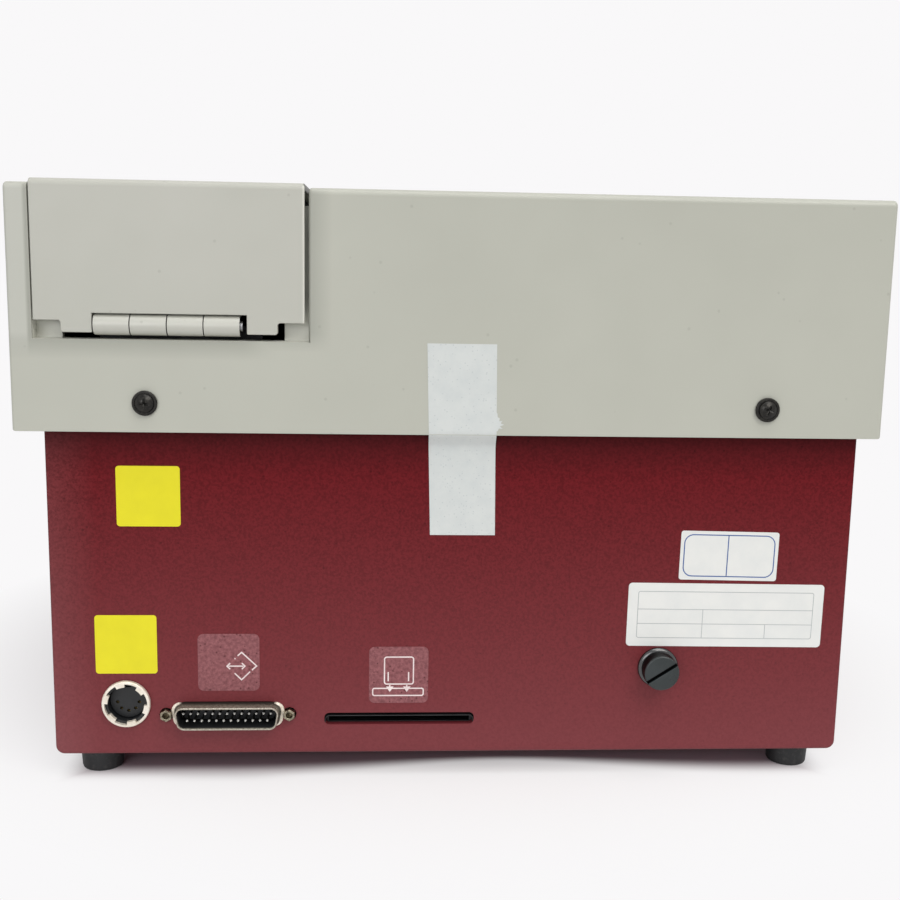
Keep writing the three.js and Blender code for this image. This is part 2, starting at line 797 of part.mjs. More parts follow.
// A dished washer whose rim stands round the screw head.
function cupWasher(x) {
  const z = seamZ + coverScrewHeight;
  const seatY = rearY + seatGap;
  const bowlRadius = coverScrewHeadRadius + seatGap;
  const cup = turned([
    [0, seatY],
    [cupRadius, seatY],
    ...rim(cupRadius, seatY + cupHeight, cupEdge),
    [0, seatY + cupHeight],
  ], 'y', [x, 0, z]);
  return cut(
    cup,
    bar('y', bowlRadius, seatY + cupFloor, seatY + overrun, [x, 0, z]),
    bar('y', coverScrewRadius + runningGap, seatY - overrun, seatY + overrun, [x, 0, z], smallRoundSteps),
  );
}

// Lid and hinge

// The rear face of the lid seen from behind: two hinge tabs below it, with the barrel between them.
function lidRearOutline() {
  const half = lidWidth / 2;
  const low = tabBottom;
  const corner = lidBottom;
  const barrelTop = hingeHeight + hingeClearRadius;
  const top = coverHeight + lidProud;
  const tabOuter = half - tabInset;
  const tabInner = tabOuter - tabWidth;
  return roundedOutline([
    [-half, top],
    [-half, corner, lidEdgeRadius],
    [-tabOuter, corner, tabRadius],
    [-tabOuter, low, tabRadius],
    [-tabInner, low, lidEdgeRadius],
    [-tabInner, barrelTop],
    [tabInner, barrelTop],
    [tabInner, low, lidEdgeRadius],
    [tabOuter, low, tabRadius],
    [tabOuter, corner, tabRadius],
    [half, corner, lidEdgeRadius],
    [half, top],
  ]);
}

// The side view of the lid: a rear leg and a roof with a round edge between them.
function lidSideOutline() {
  const low = seamZ + tabBottom;
  return roundedOutline([
    [rearY, low],
    [rearY, lidTopZ, lidRearRadius],
    [lidFrontY, lidTopZ, lidFrontRadius],
    [lidFrontY, lidTopZ - lidWall],
    [rearY - lidWall, lidTopZ - lidWall, lidWall / 2],
    [rearY - lidWall, low],
  ]);
}

function lid() {
  const bent = extrude(lidSideOutline(), 'x', lidLeftX, lidRightX, [0, 0, 0], lidEdgeRadius);
  const rearView = extrude(lidRearOutline(), 'y', lidFrontY - overrun, rearY + overrun, [wellX, 0, seamZ]);
  const finger = bar('z', fingerNotchRadius, deckTopZ, lidTopZ + overrun,
    [wellX, lidFrontY - fingerNotchOffset, 0]);
  return cut(bent.intersect(rearView), finger);
}

// The knuckles that belong to one leaf are every second one along the barrel.
function knuckle(index, grow = 0) {
  const start = barrelLeftX + index * (knuckleLength + knuckleGap);
  return bar('x', knuckleRadius + grow, start - grow, start + knuckleLength + grow, [0, hingeY, hingeZ]);
}

function hingeLeaf(first, outerY) {
  const bottomZ = hingeZ + (knuckleRadius + knuckleBore) / 2 - leafThickness / 2;
  let leaf = block(
    [barrelLeftX, outerY - leafThickness, bottomZ],
    [barrelRightX, outerY, hingeZ + leafHeight],
  );
  for (let i = 0; i < knuckleCount; i += 1) {
    leaf = i % 2 === first ? leaf.add(knuckle(i)) : leaf.subtract(knuckle(i, seatGap));
  }
  return cut(leaf, bar('x', knuckleBore, barrelLeftX - overrun, barrelRightX + overrun, [0, hingeY, hingeZ]));
}

function hingePin() {
  return bar('x', hingePinRadius, barrelLeftX - hingePinOverhang, barrelRightX, [0, hingeY, hingeZ]);
}

function lidSeal() {
  const bottomZ = deckTopZ + seatGap;
  const topZ = lidTopZ - lidWall - seatGap;
  return cut(
    wellOpening(sealInset + sealWidth, bottomZ, topZ),
    wellOpening(sealInset, bottomZ - overrun, topZ + overrun),
  );
}

// Sockets

function powerSocketShell() {
  const faceY = baseRearY + seatGap;
  const ringY = faceY + powerRingProud;
  const backY = baseRearY - powerBodyLength;
  const body = turned([
    [0, backY],
    [powerBodyRadius, backY],
    [powerBodyRadius, faceY],
    [powerRingRadius, faceY],
    [powerRingRadius, ringY - powerRingEdge],
    [powerRingRadius - powerRingEdge, ringY],
    [0, ringY],
  ], 'y', [powerX, 0, powerZ]);
  const notches = [];
  for (let i = 0; i < powerNotchCount; i += 1) {
    const notch = new THREE.BoxGeometry(powerNotchWidth, powerRingProud * 2, powerNotchDepth * 2);
    notch.translate(0, ringY, powerBoreRadius);
    notch.rotateY(((i + 0.5) * 2 * Math.PI) / powerNotchCount);
    notches.push(toSolid(notch.translate(powerX, 0, powerZ)));
  }
  const bore = bar('y', powerBoreRadius, backY - overrun, ringY + overrun, [powerX, 0, powerZ]);
  return cut(body, bore, ...notches);
}

function powerSocketInsert() {
  const faceY = baseRearY + seatGap + powerRingProud - powerInsertRecess;
  const backY = baseRearY - powerBodyLength;
  const radius = powerBoreRadius - seatGap;
  const contacts = [];
  for (let i = 0; i < powerContactCount; i += 1) {
    const turn = -Math.PI / 2 + powerContactArc * (i / (powerContactCount - 1) - 0.5);
    const x = powerX + powerContactCircle * Math.cos(turn);
    const z = powerZ + powerContactCircle * Math.sin(turn);
    contacts.push(bar('y', powerContactRadius, faceY - powerContactDepth, faceY + overrun, [x, 0, z],
      contactSteps));
  }
  const key = block(
    [powerX - powerKeyWidth / 2, faceY - powerKeyDepth, powerZ + radius - powerKeyDepth],
    [powerX + powerKeyWidth / 2, faceY + overrun, powerZ + radius + overrun],
  );
  return cut(bar('y', radius, backY, faceY, [powerX, 0, powerZ]), key, ...contacts);
}

const serialFlangeY = baseInnerRearY - seatGap;
const serialMouthY = baseRearY + serialShellProud;

function serialPortShell() {
  const flange = extrude(roundedRectangle(serialFlangeWidth, serialFlangeHeight, serialShellRadius), 'y',
    serialFlangeY - serialFlangeThickness, serialFlangeY, [serialX, 0, serialZ]);
  const tube = extrude(serialOutline(0), 'y', serialFlangeY - serialFlangeThickness, serialMouthY,
    [serialX, 0, serialZ]);
  const bore = extrude(serialOutline(-serialShellWall), 'y', serialFlangeY - serialFlangeThickness - overrun,
    serialMouthY + overrun, [serialX, 0, serialZ]);
  const holes = [-1, 1].map((side) => bar('y', jackscrewShank + runningGap,
    serialFlangeY - serialFlangeThickness - overrun, serialFlangeY + overrun,
    [serialX + (side * jackscrewSpacing) / 2, 0, serialZ], smallRoundSteps));
  return cut(join(flange, tube), bore, ...holes);
}

function serialPortContacts() {
  const backY = serialFlangeY - serialFlangeThickness - seatGap - serialBodyDepth;
  const insert = extrude(serialOutline(-serialShellWall - seatGap), 'y', backY, serialFlangeY,
    [serialX, 0, serialZ]);
  const body = extrude(roundedRectangle(serialShellWidth, serialFlangeHeight - seatGap, serialShellRadius),
    'y', backY, serialFlangeY - serialFlangeThickness - seatGap, [serialX, 0, serialZ]);
  let contacts = join(insert, body);
  serialPinsPerRow.forEach((count, row) => {
    const z = serialZ + serialRowPitch * (0.5 - row);
    for (let i = 0; i < count; i += 1) {
      const x = serialX + serialPinPitch * (i - (count - 1) / 2);
      const pin = bar('y', serialPinRadius, serialFlangeY - serialFlangeThickness,
        serialFlangeY + serialPinLength, [x, 0, z], pinSteps);
      contacts = contacts.add(pin);
    }
  });
  return contacts;
}

function jackscrew(side) {
  const x = serialX + (side * jackscrewSpacing) / 2;
  const startY = serialFlangeY + seatGap;
  const endY = startY + jackscrewLength;
  const hex = bar('y', jackscrewRadius, startY, endY, [x, 0, serialZ], hexSides);
  const shank = bar('y', jackscrewShank, startY - jackscrewLength, startY + jackscrewLength / 2,
    [x, 0, serialZ], smallRoundSteps);
  const bore = bar('y', jackscrewBore, endY - jackscrewBoreDepth, endY + overrun, [x, 0, serialZ],
    smallRoundSteps);
  return cut(join(hex, shank), bore);
}

function cardReader() {
  const rear = baseInnerRearY - seatGap;
  const outer = block(
    [cardX - readerWidth / 2, rear - readerDepth, boardTopZ + seatGap],
    [cardX + readerWidth / 2, rear, boardTopZ + seatGap + readerHeight],
  );
  const mouth = block(
    [cardX - readerMouthWidth / 2, rear - readerMouthDepth, cardZ - readerMouthHeight / 2],
    [cardX + readerMouthWidth / 2, rear + overrun, cardZ + readerMouthHeight / 2],
  );
  return cut(outer, mouth);
}

// Fuse holder, its cap and the fuse that the cap draws out

const holderFaceY = baseRearY + seatGap + holderFlangeHeight;
const capFaceY = baseRearY + capProud;
const fuseRearY = holderFaceY + seatGap - capNeckLength - seatGap;

function fuseHolderBody() {
  const backY = baseRearY - holderBodyLength;
  const body = turned([
    [0, backY],
    [holderBodyRadius, backY],
    [holderBodyRadius, baseRearY + seatGap],
    [holderFlangeRadius, baseRearY + seatGap],
    ...rim(holderFlangeRadius, holderFaceY, holderFlangeEdge),
    [0, holderFaceY],
  ], 'y', [fuseX, 0, fuseZ]);
  const bore = bar('y', holderBoreRadius, backY + baseWall, holderFaceY + overrun, [fuseX, 0, fuseZ]);
  return cut(body, bore);
}

function fuseHolderNut() {
  const endY = baseInnerRearY - seatGap;
  const nut = bar('y', holderNutRadius, endY - holderNutLength, endY, [fuseX, 0, fuseZ], hexSides);
  return cut(nut, bar('y', holderBodyRadius + seatGap, endY - holderNutLength - overrun, endY + overrun,
    [fuseX, 0, fuseZ]));
}

function fuseCap() {
  const seatY = holderFaceY + seatGap;
  const cap = turned([
    [0, seatY - capNeckLength],
    [capNeckRadius, seatY - capNeckLength],
    [capNeckRadius, seatY],
    [capRadius, seatY],
    ...rim(capRadius, capFaceY, capEdge),
    [0, capFaceY],
  ], 'y', [fuseX, 0, fuseZ]);
  const slot = new THREE.BoxGeometry(4 * capRadius, 2 * capSlotDepth, capSlotWidth);
  slot.rotateY(capSlotTurn);
  return cut(cap, toSolid(slot.translate(fuseX, capFaceY, fuseZ)));
}

function fuse() {
  return bar('y', fuseRadius, fuseRearY - fuseLength, fuseRearY, [fuseX, 0, fuseZ], smallRoundSteps);
}

// Main board

function boardStandoffPlaces() {
  const xs = [boardX - boardWidth / 2 + standoffInset, boardX + boardWidth / 2 - standoffInset];
  const ys = [boardRearY - standoffInset, boardFrontY + standoffInset];
  return ys.flatMap((y) => xs.map((x) => [x, y]));
}

function mainBoard() {
  return block(
    [boardX - boardWidth / 2, boardFrontY, boardBottomZ],
    [boardX + boardWidth / 2, boardRearY, boardTopZ],
  );
}

const boardStandoff = ([x, y]) =>
  bar('z', standoffRadius, baseFloorZ + seatGap, baseFloorZ + seatGap + standoffHeight, [x, y, 0], hexSides);

function capacitor(index) {
  const x = boardX - boardWidth / 2 + standoffInset * 2 + capacitorRadius + index * capacitorPitch;
  const y = boardFrontY + standoffInset * 2 + capacitorRadius;
  const bottomZ = boardTopZ + seatGap;
  const topZ = bottomZ + capacitorHeight;
  return turned([
    [0, bottomZ],
    [capacitorRadius, bottomZ],
    [capacitorRadius, topZ - capacitorEdge],
    [capacitorRadius - capacitorEdge, topZ],
    [0, topZ],
  ], 'z', [x, y, 0], smallRoundSteps);
}

function heatSink() {
  const left = boardX - boardWidth / 2 + 2 * (standoffInset + capacitorPitch);
  const rear = boardFrontY + 2 * standoffInset + sinkDepth;
  const bottomZ = boardTopZ + seatGap;
  const solids = [block([left, rear - sinkBase, bottomZ], [left + sinkWidth, rear, bottomZ + sinkHeight])];
  for (let i = 0; i < sinkFinCount; i += 1) {
    const x = left + ((sinkWidth - sinkFinThickness) * i) / (sinkFinCount - 1);
    solids.push(block(
      [x, rear - sinkDepth, bottomZ],
      [x + sinkFinThickness, rear - sinkBase / 2, bottomZ + sinkHeight],
    ));
  }
  return join(...solids);
}

// Measuring well, tray and drive

function wellLiner() {
  const bottomZ = trayTopZ + linerClearance;
  return cut(
    wellOpening(-seatGap, bottomZ, deckTopZ),
    wellOpening(-seatGap - linerWall, bottomZ - overrun, deckTopZ + overrun),
  );
}

const rodX = [-1, 1].map((side) => wellX + (side * lugSpread) / 2);

function chamberTray() {
  const left = wellX - trayWidth / 2;
  const right = wellX + trayWidth / 2;
  const body = block([left, trayFrontY, trayBottomZ], [right, trayRearY, trayTopZ]);
  const pocket = block(
    [left + trayWall, trayFrontY + trayWall, trayTopZ - trayPocketDepth],
    [right - trayWall, trayRearY - trayWall, trayTopZ + overrun],
  );
  const pitch = (trayWidth - 2 * trayWall) / grooveCount;
  const grooves = [];
  for (let i = 0; i < grooveCount; i += 1) {
    const x = left + trayWall + pitch * (i + 0.5);
    const z = trayTopZ - trayPocketDepth - grooveDepth + grooveRadius;
    grooves.push(bar('y', grooveRadius, trayFrontY + trayWall, trayRearY - trayWall, [x, 0, z],
      smallRoundSteps));
  }
  const lugs = rodX.map((x) => block(
    [x - lugWidth / 2, trayFrontY, trayBottomZ - lugHeight],
    [x + lugWidth / 2, trayRearY, trayBottomZ + trayWall / 2],
  ));
  const rodBores = rodX.map((x) =>
    bar('y', rodRadius + runningGap, trayFrontY - overrun, trayRearY + overrun, [x, 0, rodZ]));
  const nutBlock = block(
    [wellX - nutBlockWidth / 2, trayMiddleY - nutBlockLength / 2, trayBottomZ - lugHeight],
    [wellX + nutBlockWidth / 2, trayMiddleY + nutBlockLength / 2, trayBottomZ + trayWall / 2],
  );
  const nutBore = bar('y', nutRadius + seatGap, trayFrontY, trayRearY, [wellX, 0, rodZ]);
  return cut(join(cut(body, pocket, ...grooves), ...lugs, nutBlock), ...rodBores, nutBore);
}

function leadNut() {
  const endY = trayMiddleY - nutBlockLength / 2 - seatGap;
  const nut = join(
    bar('y', nutRadius, endY - nutFlangeThickness, trayMiddleY + nutBlockLength / 2, [wellX, 0, rodZ]),
    bar('y', nutFlangeRadius, endY - nutFlangeThickness, endY, [wellX, 0, rodZ])
      .subtract(block(
        [wellX - nutFlangeRadius, endY - nutFlangeThickness - overrun, rodZ + nutRadius],
        [wellX + nutFlangeRadius, endY + overrun, rodZ + nutFlangeRadius + overrun],
      )),
  );
  return cut(nut, bar('y', leadScrewRadius + runningGap, trayFrontY, trayRearY, [wellX, 0, rodZ]));
}

// Sheet-metal frame: a floor, two upright ends that hold the rods and the screw, and two legs with feet.
function trayFrame() {
  const left = wellX - frameWidth / 2;
  const right = wellX + frameWidth / 2;
  const floor = block([left, frameFrontY, frameFloorZ], [right, frameRearY, frameFloorTopZ]);
  const ends = [frameFrontY, frameRearY - frameSheet].map((y) => block(
    [left, y, frameFloorZ], [right, y + frameSheet, frameFloorTopZ + frameEndHeight]));
  const legY = frameFrontY + frameLegFromFront;
  const legs = [left, right - frameLegWidth].flatMap((x) => [
    block([x, legY, baseFloorZ + seatGap],
      [x + frameLegWidth, legY + frameSheet, frameFloorTopZ - frameSheet / 2]),
    block([x, legY, baseFloorZ + seatGap],
      [x + frameLegWidth, legY + frameFlangeWidth, baseFloorZ + seatGap + frameSheet]),
  ]);
  const endHoles = [frameFrontY, frameRearY - frameSheet].flatMap((y) => rodX.map((x) =>
    bar('y', rodRadius + seatGap, y - overrun, y + frameSheet + overrun, [x, 0, rodZ], smallRoundSteps)));
  const bearing = bar('y', bearingRadius + seatGap, frameRearY - frameSheet - overrun, frameRearY + overrun,
    [wellX, 0, rodZ]);
  const pilot = bar('y', motorPilotRadius + seatGap, frameFrontY - overrun, frameFrontY + frameSheet + overrun,
    [wellX, 0, rodZ]);
  return cut(join(floor, ...ends, ...legs), ...endHoles, bearing, pilot);
}

function screwBearing() {
  const ring = bar('y', bearingRadius, frameRearY - frameSheet, frameRearY, [wellX, 0, rodZ]);
  return cut(ring, bar('y', leadScrewRadius + runningGap, frameRearY - frameSheet - overrun,
    frameRearY + overrun, [wellX, 0, rodZ]));
}

const guideRod = (x) => bar('y', rodRadius, frameFrontY, frameRearY, [x, 0, rodZ]);

function leadScrew() {
  return bar('y', leadScrewRadius, couplerRearY - couplerLength / 2, frameRearY, [wellX, 0, rodZ]);
}

function shaftCoupler() {
  const middleY = couplerRearY - couplerLength / 2;
  const sleeve = bar('y', couplerRadius, couplerRearY - couplerLength, couplerRearY, [wellX, 0, rodZ]);
  const screwBore = bar('y', leadScrewRadius + seatGap, middleY - seatGap, couplerRearY + overrun,
    [wellX, 0, rodZ]);
  const shaftBore = bar('y', motorShaftRadius + runningGap, couplerRearY - couplerLength - overrun, middleY,
    [wellX, 0, rodZ]);
  return cut(sleeve, screwBore, shaftBore);
}

function stepperMotor() {
  const can = extrude(roundedRectangle(motorSize, motorSize, motorCorner), 'y', motorY - motorLength, motorY,
    [wellX, 0, rodZ]);
  const pilot = bar('y', motorPilotRadius, motorY - overrun, motorY + motorPilotHeight, [wellX, 0, rodZ]);
  const shaft = bar('y', motorShaftRadius, motorY, couplerRearY - couplerLength / 2 - 2 * seatGap,
    [wellX, 0, rodZ], smallRoundSteps);
  return join(can, pilot, shaft);
}

// Detector

const detectorMiddleY = trayMiddleY - trayPathLength;
const detectorBottomZ = trayTopZ + detectorGap;
const detectorTubeZ = detectorBottomZ + detectorHeight / 2;
const detectorHalfWidth = trayWidth / 2 + detectorSideClearance + detectorLeg;

// A bridge over the path of the tray, with a bore across it for the detector tube and a window below.
function detectorHousing() {
  const front = detectorMiddleY - detectorLength / 2;
  const rear = detectorMiddleY + detectorLength / 2;
  const bridge = block(
    [wellX - detectorHalfWidth, front, frameFloorTopZ + seatGap],
    [wellX + detectorHalfWidth, rear, detectorBottomZ + detectorHeight],
  );
  const passage = block(
    [wellX - detectorHalfWidth + detectorLeg, front - overrun, frameFloorTopZ - overrun],
    [wellX + detectorHalfWidth - detectorLeg, rear + overrun, detectorBottomZ],
  );
  const bore = bar('x', detectorTubeRadius + seatGap, wellX - detectorHalfWidth - overrun,
    wellX + detectorTubeLength / 2 + seatGap, [0, detectorMiddleY, detectorTubeZ]);
  const window = block(
    [wellX - detectorWindowWidth / 2, detectorMiddleY - detectorWindowLength / 2, detectorBottomZ - overrun],
    [wellX + detectorWindowWidth / 2, detectorMiddleY + detectorWindowLength / 2, detectorTubeZ],
  );
  return cut(bridge, passage, bore, window);
}

function detectorTube() {
  return bar('x', detectorTubeRadius, wellX - detectorTubeLength / 2, wellX + detectorTubeLength / 2,
    [0, detectorMiddleY, detectorTubeZ]);
}

function detectorSocket() {
  const end = wellX - detectorTubeLength / 2 - seatGap;
  return bar('x', detectorSocketRadius, end - detectorSocketLength, end, [0, detectorMiddleY, detectorTubeZ]);
}

// Console

function displayModule() {
  return displayPanel(-seatGap, -coverWall - seatGap - displayModuleDepth, -coverWall - seatGap);
}

function keypad() {
  const solids = [keypadPanel(0, seatGap - keypadRecess, keypadThickness - keypadRecess + seatGap)];
  const faceHeight = keypadThickness - keypadRecess + seatGap;
  for (let row = 0; row < keyRows; row += 1) {
    for (let column = 0; column < keyColumns; column += 1) {
      const x = keypadX + (keypadWidth / keyColumns) * (column - (keyColumns - 1) / 2);
      const down = keypadFromBreak + (keypadHeight / keyRows) * (row + 0.5) - keyHeight / 2;
      solids.push(onConsole(roundedRectangle(keyWidth, keyHeight, keyRadius), x, down, keyHeight,
        faceHeight - keyProud, faceHeight + keyProud, keySteps));
    }
  }
  return join(...solids);
}

// The lid sensor's magnet, let down from the roof of the lid beside the seal.
function lidMagnet() {
  const topZ = lidTopZ - lidWall - seatGap;
  const x = lidRightX - lidEdgeGap - magnetRadius - lidEdgeRadius;
  const y = recessFrontY + lidFrontGap + 2 * magnetRadius;
  return bar('z', magnetRadius, topZ - magnetThickness, topZ, [x, y, 0], smallRoundSteps);
}

// Assembly

addPiece('base_tub', burgundyPaint, baseTub());
addPiece('top_housing', greyPaint, topHousing());
for (const [place, x, y] of footPlaces()) {
  addPiece(`foot_${place}`, blackRubber, foot(x, y));
  addPiece(`foot_screw_${place}`, brightSteel, footScrew(x, y));
}
coverScrewX.forEach((x, i) => {
  const side = ['right', 'left'][i];
  addPiece(`cover_screw_${side}`, blackScrew, coverScrew(x));
  addPiece(`cup_washer_${side}`, blackScrew, cupWasher(x));
});

addPiece('lid', greyPaint, lid());
addPiece('lid_seal', greyFoam, lidSeal());
addPiece('lid_magnet', brightSteel, lidMagnet());
addPiece('hinge_leaf_lid', creamPaint, hingeLeaf(1, hingeY - seatGap));
addPiece('hinge_leaf_housing', creamPaint, hingeLeaf(0, hingeY - 2 * seatGap - leafThickness));
addPiece('hinge_pin', brightSteel, hingePin());

addPiece('power_socket_shell', creamPaint, powerSocketShell());
addPiece('power_socket_insert', blackPlastic, powerSocketInsert());
addPiece('serial_port_shell', tinnedSteel, serialPortShell());
addPiece('serial_port_contacts', blackPlastic, serialPortContacts());
addPiece('jackscrew_left', tinnedSteel, jackscrew(-1));
addPiece('jackscrew_right', tinnedSteel, jackscrew(1));
addPiece('card_reader', blackPlastic, cardReader());
addPiece('fuse_holder_body', blackPlastic, fuseHolderBody());
addPiece('fuse_holder_nut', blackPlastic, fuseHolderNut());
addPiece('fuse_cap', blackPlastic, fuseCap());
addPiece('fuse', clearGlass, fuse());

addPiece('main_board', greenBoard, mainBoard());
boardStandoffPlaces().forEach((place, i) => addPiece(`board_standoff_${i + 1}`, brass, boardStandoff(place)));
addPiece('smoothing_capacitor_1', canBlue, capacitor(0));
addPiece('smoothing_capacitor_2', canBlue, capacitor(1));
addPiece('heat_sink', aluminium, heatSink());

addPiece('well_liner', blackPlastic, wellLiner());
addPiece('chamber_tray', blackPlastic, chamberTray());
addPiece('lead_nut', brass, leadNut());
addPiece('tray_frame', aluminium, trayFrame());
addPiece('guide_rod_left', brightSteel, guideRod(rodX[0]));
addPiece('guide_rod_right', brightSteel, guideRod(rodX[1]));
addPiece('screw_bearing', brass, screwBearing());
addPiece('lead_screw', brightSteel, leadScrew());
addPiece('shaft_coupler', aluminium, shaftCoupler());
addPiece('stepper_motor', tinnedSteel, stepperMotor());
addPiece('detector_housing', blackPlastic, detectorHousing());
addPiece('detector_tube', clearGlass, detectorTube());
addPiece('detector_socket', blackPlastic, detectorSocket());

addPiece('display_window', clearGlass, displayPanel(0, seatGap - windowThickness, 0));
addPiece('display_module', blackPlastic, displayModule());
addPiece('keypad', keypadFilm, keypad());

export default model;
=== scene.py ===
# %% [markdown]
# A bench analyzer seen from behind: a wrinkle-painted base tub, a pale satin top housing and an L-shaped lid
# on a short butt hinge. The CAD model already holds every real size, so this lesson only dresses it.
# Everything is in metres and in the frame of the CAD model: +Z up, the rear with its sockets faces +Y.

import json
import math

import bmesh
import bpy
from mathutils import Matrix, Vector


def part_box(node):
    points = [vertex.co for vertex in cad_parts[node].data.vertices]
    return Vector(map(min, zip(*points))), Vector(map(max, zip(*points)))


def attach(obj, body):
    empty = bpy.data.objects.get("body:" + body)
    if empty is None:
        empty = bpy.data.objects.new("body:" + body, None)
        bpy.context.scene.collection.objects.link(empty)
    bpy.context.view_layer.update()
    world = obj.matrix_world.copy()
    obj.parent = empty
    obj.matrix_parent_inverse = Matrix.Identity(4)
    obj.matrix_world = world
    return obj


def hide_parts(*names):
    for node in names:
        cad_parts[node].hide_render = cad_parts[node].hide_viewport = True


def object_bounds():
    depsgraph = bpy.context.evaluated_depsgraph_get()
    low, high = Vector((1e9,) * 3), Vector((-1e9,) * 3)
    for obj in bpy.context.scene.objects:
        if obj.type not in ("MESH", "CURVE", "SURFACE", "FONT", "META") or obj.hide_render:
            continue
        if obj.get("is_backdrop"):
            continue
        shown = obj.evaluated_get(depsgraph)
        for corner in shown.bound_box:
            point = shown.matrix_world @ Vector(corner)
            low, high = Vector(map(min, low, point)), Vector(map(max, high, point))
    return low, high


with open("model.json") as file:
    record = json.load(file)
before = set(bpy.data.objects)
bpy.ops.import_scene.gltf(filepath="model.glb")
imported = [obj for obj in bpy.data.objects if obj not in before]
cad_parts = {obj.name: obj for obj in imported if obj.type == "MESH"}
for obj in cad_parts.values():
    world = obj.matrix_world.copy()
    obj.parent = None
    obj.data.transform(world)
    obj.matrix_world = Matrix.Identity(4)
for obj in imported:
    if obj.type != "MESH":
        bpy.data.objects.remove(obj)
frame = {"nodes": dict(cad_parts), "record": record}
cad_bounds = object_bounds()
MM = 0.001
print("nodes", len(frame["nodes"]))

# %% [markdown]
# The camera comes first. The photograph was taken from behind the instrument, a little above the seam between
# the two housings and close to it, which is why the sides can't be seen. Its place was worked out from the
# edges of both housings, as three turns and a distance from the rear face of the top housing.

# %% Camera
housing_low, housing_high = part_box("top_housing")
CAMERA_SIDE = 28.4 * MM
CAMERA_BACK = 427.4 * MM
CAMERA_ABOVE_SEAM = 63.7 * MM
CAMERA_YAW = math.radians(3.51)
CAMERA_PITCH = math.radians(9.19)
CAMERA_ROLL = math.radians(-1.06)
FOCAL_PIXELS = 1163.3
PICTURE_PIXELS = 900
SENSOR_MM = 36
NEAREST_SEEN = 0.01


def look_axes(yaw, pitch, roll):
    """The camera's right, up and back directions, for a camera that looks towards the rear face."""
    forward = Vector((-math.sin(yaw) * math.cos(pitch), -math.cos(yaw) * math.cos(pitch), -math.sin(pitch)))
    level = Vector((-math.cos(yaw), math.sin(yaw), 0))
    down = forward.cross(level)
    right = math.cos(roll) * level + math.sin(roll) * down
    lower = math.cos(roll) * down - math.sin(roll) * level
    return right, -lower, -forward


def add_to_scene(name, data):
    """An object of a mesh, a lamp or a camera, in the scene."""
    made = bpy.data.objects.new(name, data)
    bpy.context.scene.collection.objects.link(made)
    return made


def make_camera():
    data = bpy.data.cameras.new("camera")
    data.sensor_width = SENSOR_MM
    data.lens = data.sensor_width * FOCAL_PIXELS / PICTURE_PIXELS
    data.clip_start = NEAREST_SEEN
    made = add_to_scene("camera", data)
    place = Vector((CAMERA_SIDE, housing_high.y + CAMERA_BACK, housing_low.z + CAMERA_ABOVE_SEAM))
    turn = Matrix(look_axes(CAMERA_YAW, CAMERA_PITCH, CAMERA_ROLL)).transposed().to_4x4()
    made.matrix_world = Matrix.Translation(place) @ turn
    bpy.context.scene.camera = made
    return made


camera = make_camera()
print("camera at", [round(v, 3) for v in camera.location], "lens", round(camera.data.lens, 2))

# %% [markdown]
# Colours are written as a painter would name them, as sRGB hex, and one function turns them to linear.
# One more function adds a shader node with its settings and links, so each material reads as a short list.

# %% Helpers for materials
NOISE_LOW, NOISE_HIGH = 0.3, 0.7


def linear(hex_colour):
    """Linear RGBA from a hex sRGB colour."""
    parts = [int(hex_colour[i : i + 2], 16) / 255 for i in (0, 2, 4)]
    return (*[p / 12.92 if p <= 0.04045 else ((p + 0.055) / 1.055) ** 2.4 for p in parts], 1)


def node(tree, kind, inputs=None, **settings):
    """Adds a node; an input is a value, or the output socket that feeds it."""
    made = tree.nodes.new(kind)
    for name, value in settings.items():
        setattr(made, name, value)
    for name, value in (inputs or {}).items():
        if isinstance(value, bpy.types.NodeSocket):
            tree.links.new(value, made.inputs[name])
        else:
            made.inputs[name].default_value = value
    return made


def out_of(tree, kind, inputs=None, **settings):
    """The first output of a new node."""
    return node(tree, kind, inputs, **settings).outputs[0]


def new_material(name, slot=None):
    """An empty material for a slot, with its tree and the object coordinates."""
    material = bpy.data.materials.new(name)
    material.use_nodes = True
    if slot:
        material["slot"] = slot
    tree = material.node_tree
    tree.nodes.clear()
    place = node(tree, "ShaderNodeTexCoord").outputs["Object"]
    return material, tree, place


def shade(tree, **inputs):
    """Ends a tree in one Principled shader; names use _ for a space."""
    named = {key.replace("_", " "): value for key, value in inputs.items()}
    shader = node(tree, "ShaderNodeBsdfPrincipled", named)
    node(tree, "ShaderNodeOutputMaterial", {"Surface": shader.outputs["BSDF"]})


def mix(tree, factor, *colours):
    """Mixes two colours; each is a socket or a hex colour."""
    first, second = (linear(colour) if isinstance(colour, str) else colour for colour in colours)
    return node(tree, "ShaderNodeMix", {0: factor, 6: first, 7: second}, data_type="RGBA").outputs[2]


def ramp(tree, value, low, high, to_low=0.0, to_high=1.0, way="LINEAR"):
    """Maps a range of a value to another, held at its ends."""
    inputs = {"Value": value, "From Min": low, "From Max": high, "To Min": to_low, "To Max": to_high}
    return out_of(tree, "ShaderNodeMapRange", inputs, interpolation_type=way)


def maths(tree, operation, *values):
    """One sum of sockets and numbers, in a material or in a rule."""
    return out_of(tree, "ShaderNodeMath", dict(enumerate(values)), operation=operation)


def times(tree, *values):
    """The product of sockets and numbers."""
    product = values[0]
    for value in values[1:]:
        product = maths(tree, "MULTIPLY", product, value)
    return product


def axes_of(tree, place):
    return node(tree, "ShaderNodeSeparateXYZ", {"Vector": place}).outputs


def unsigned(tree, place):
    """A vector without the signs of its parts."""
    return out_of(tree, "ShaderNodeVectorMath", {0: place}, operation="ABSOLUTE")


def region(tree, spot, spans):
    """1 where all spans hold; each is an axis and the two places between which it goes from 0 to 1."""
    return times(tree, *[ramp(tree, spot[axis], start, full) for axis, start, full in spans])


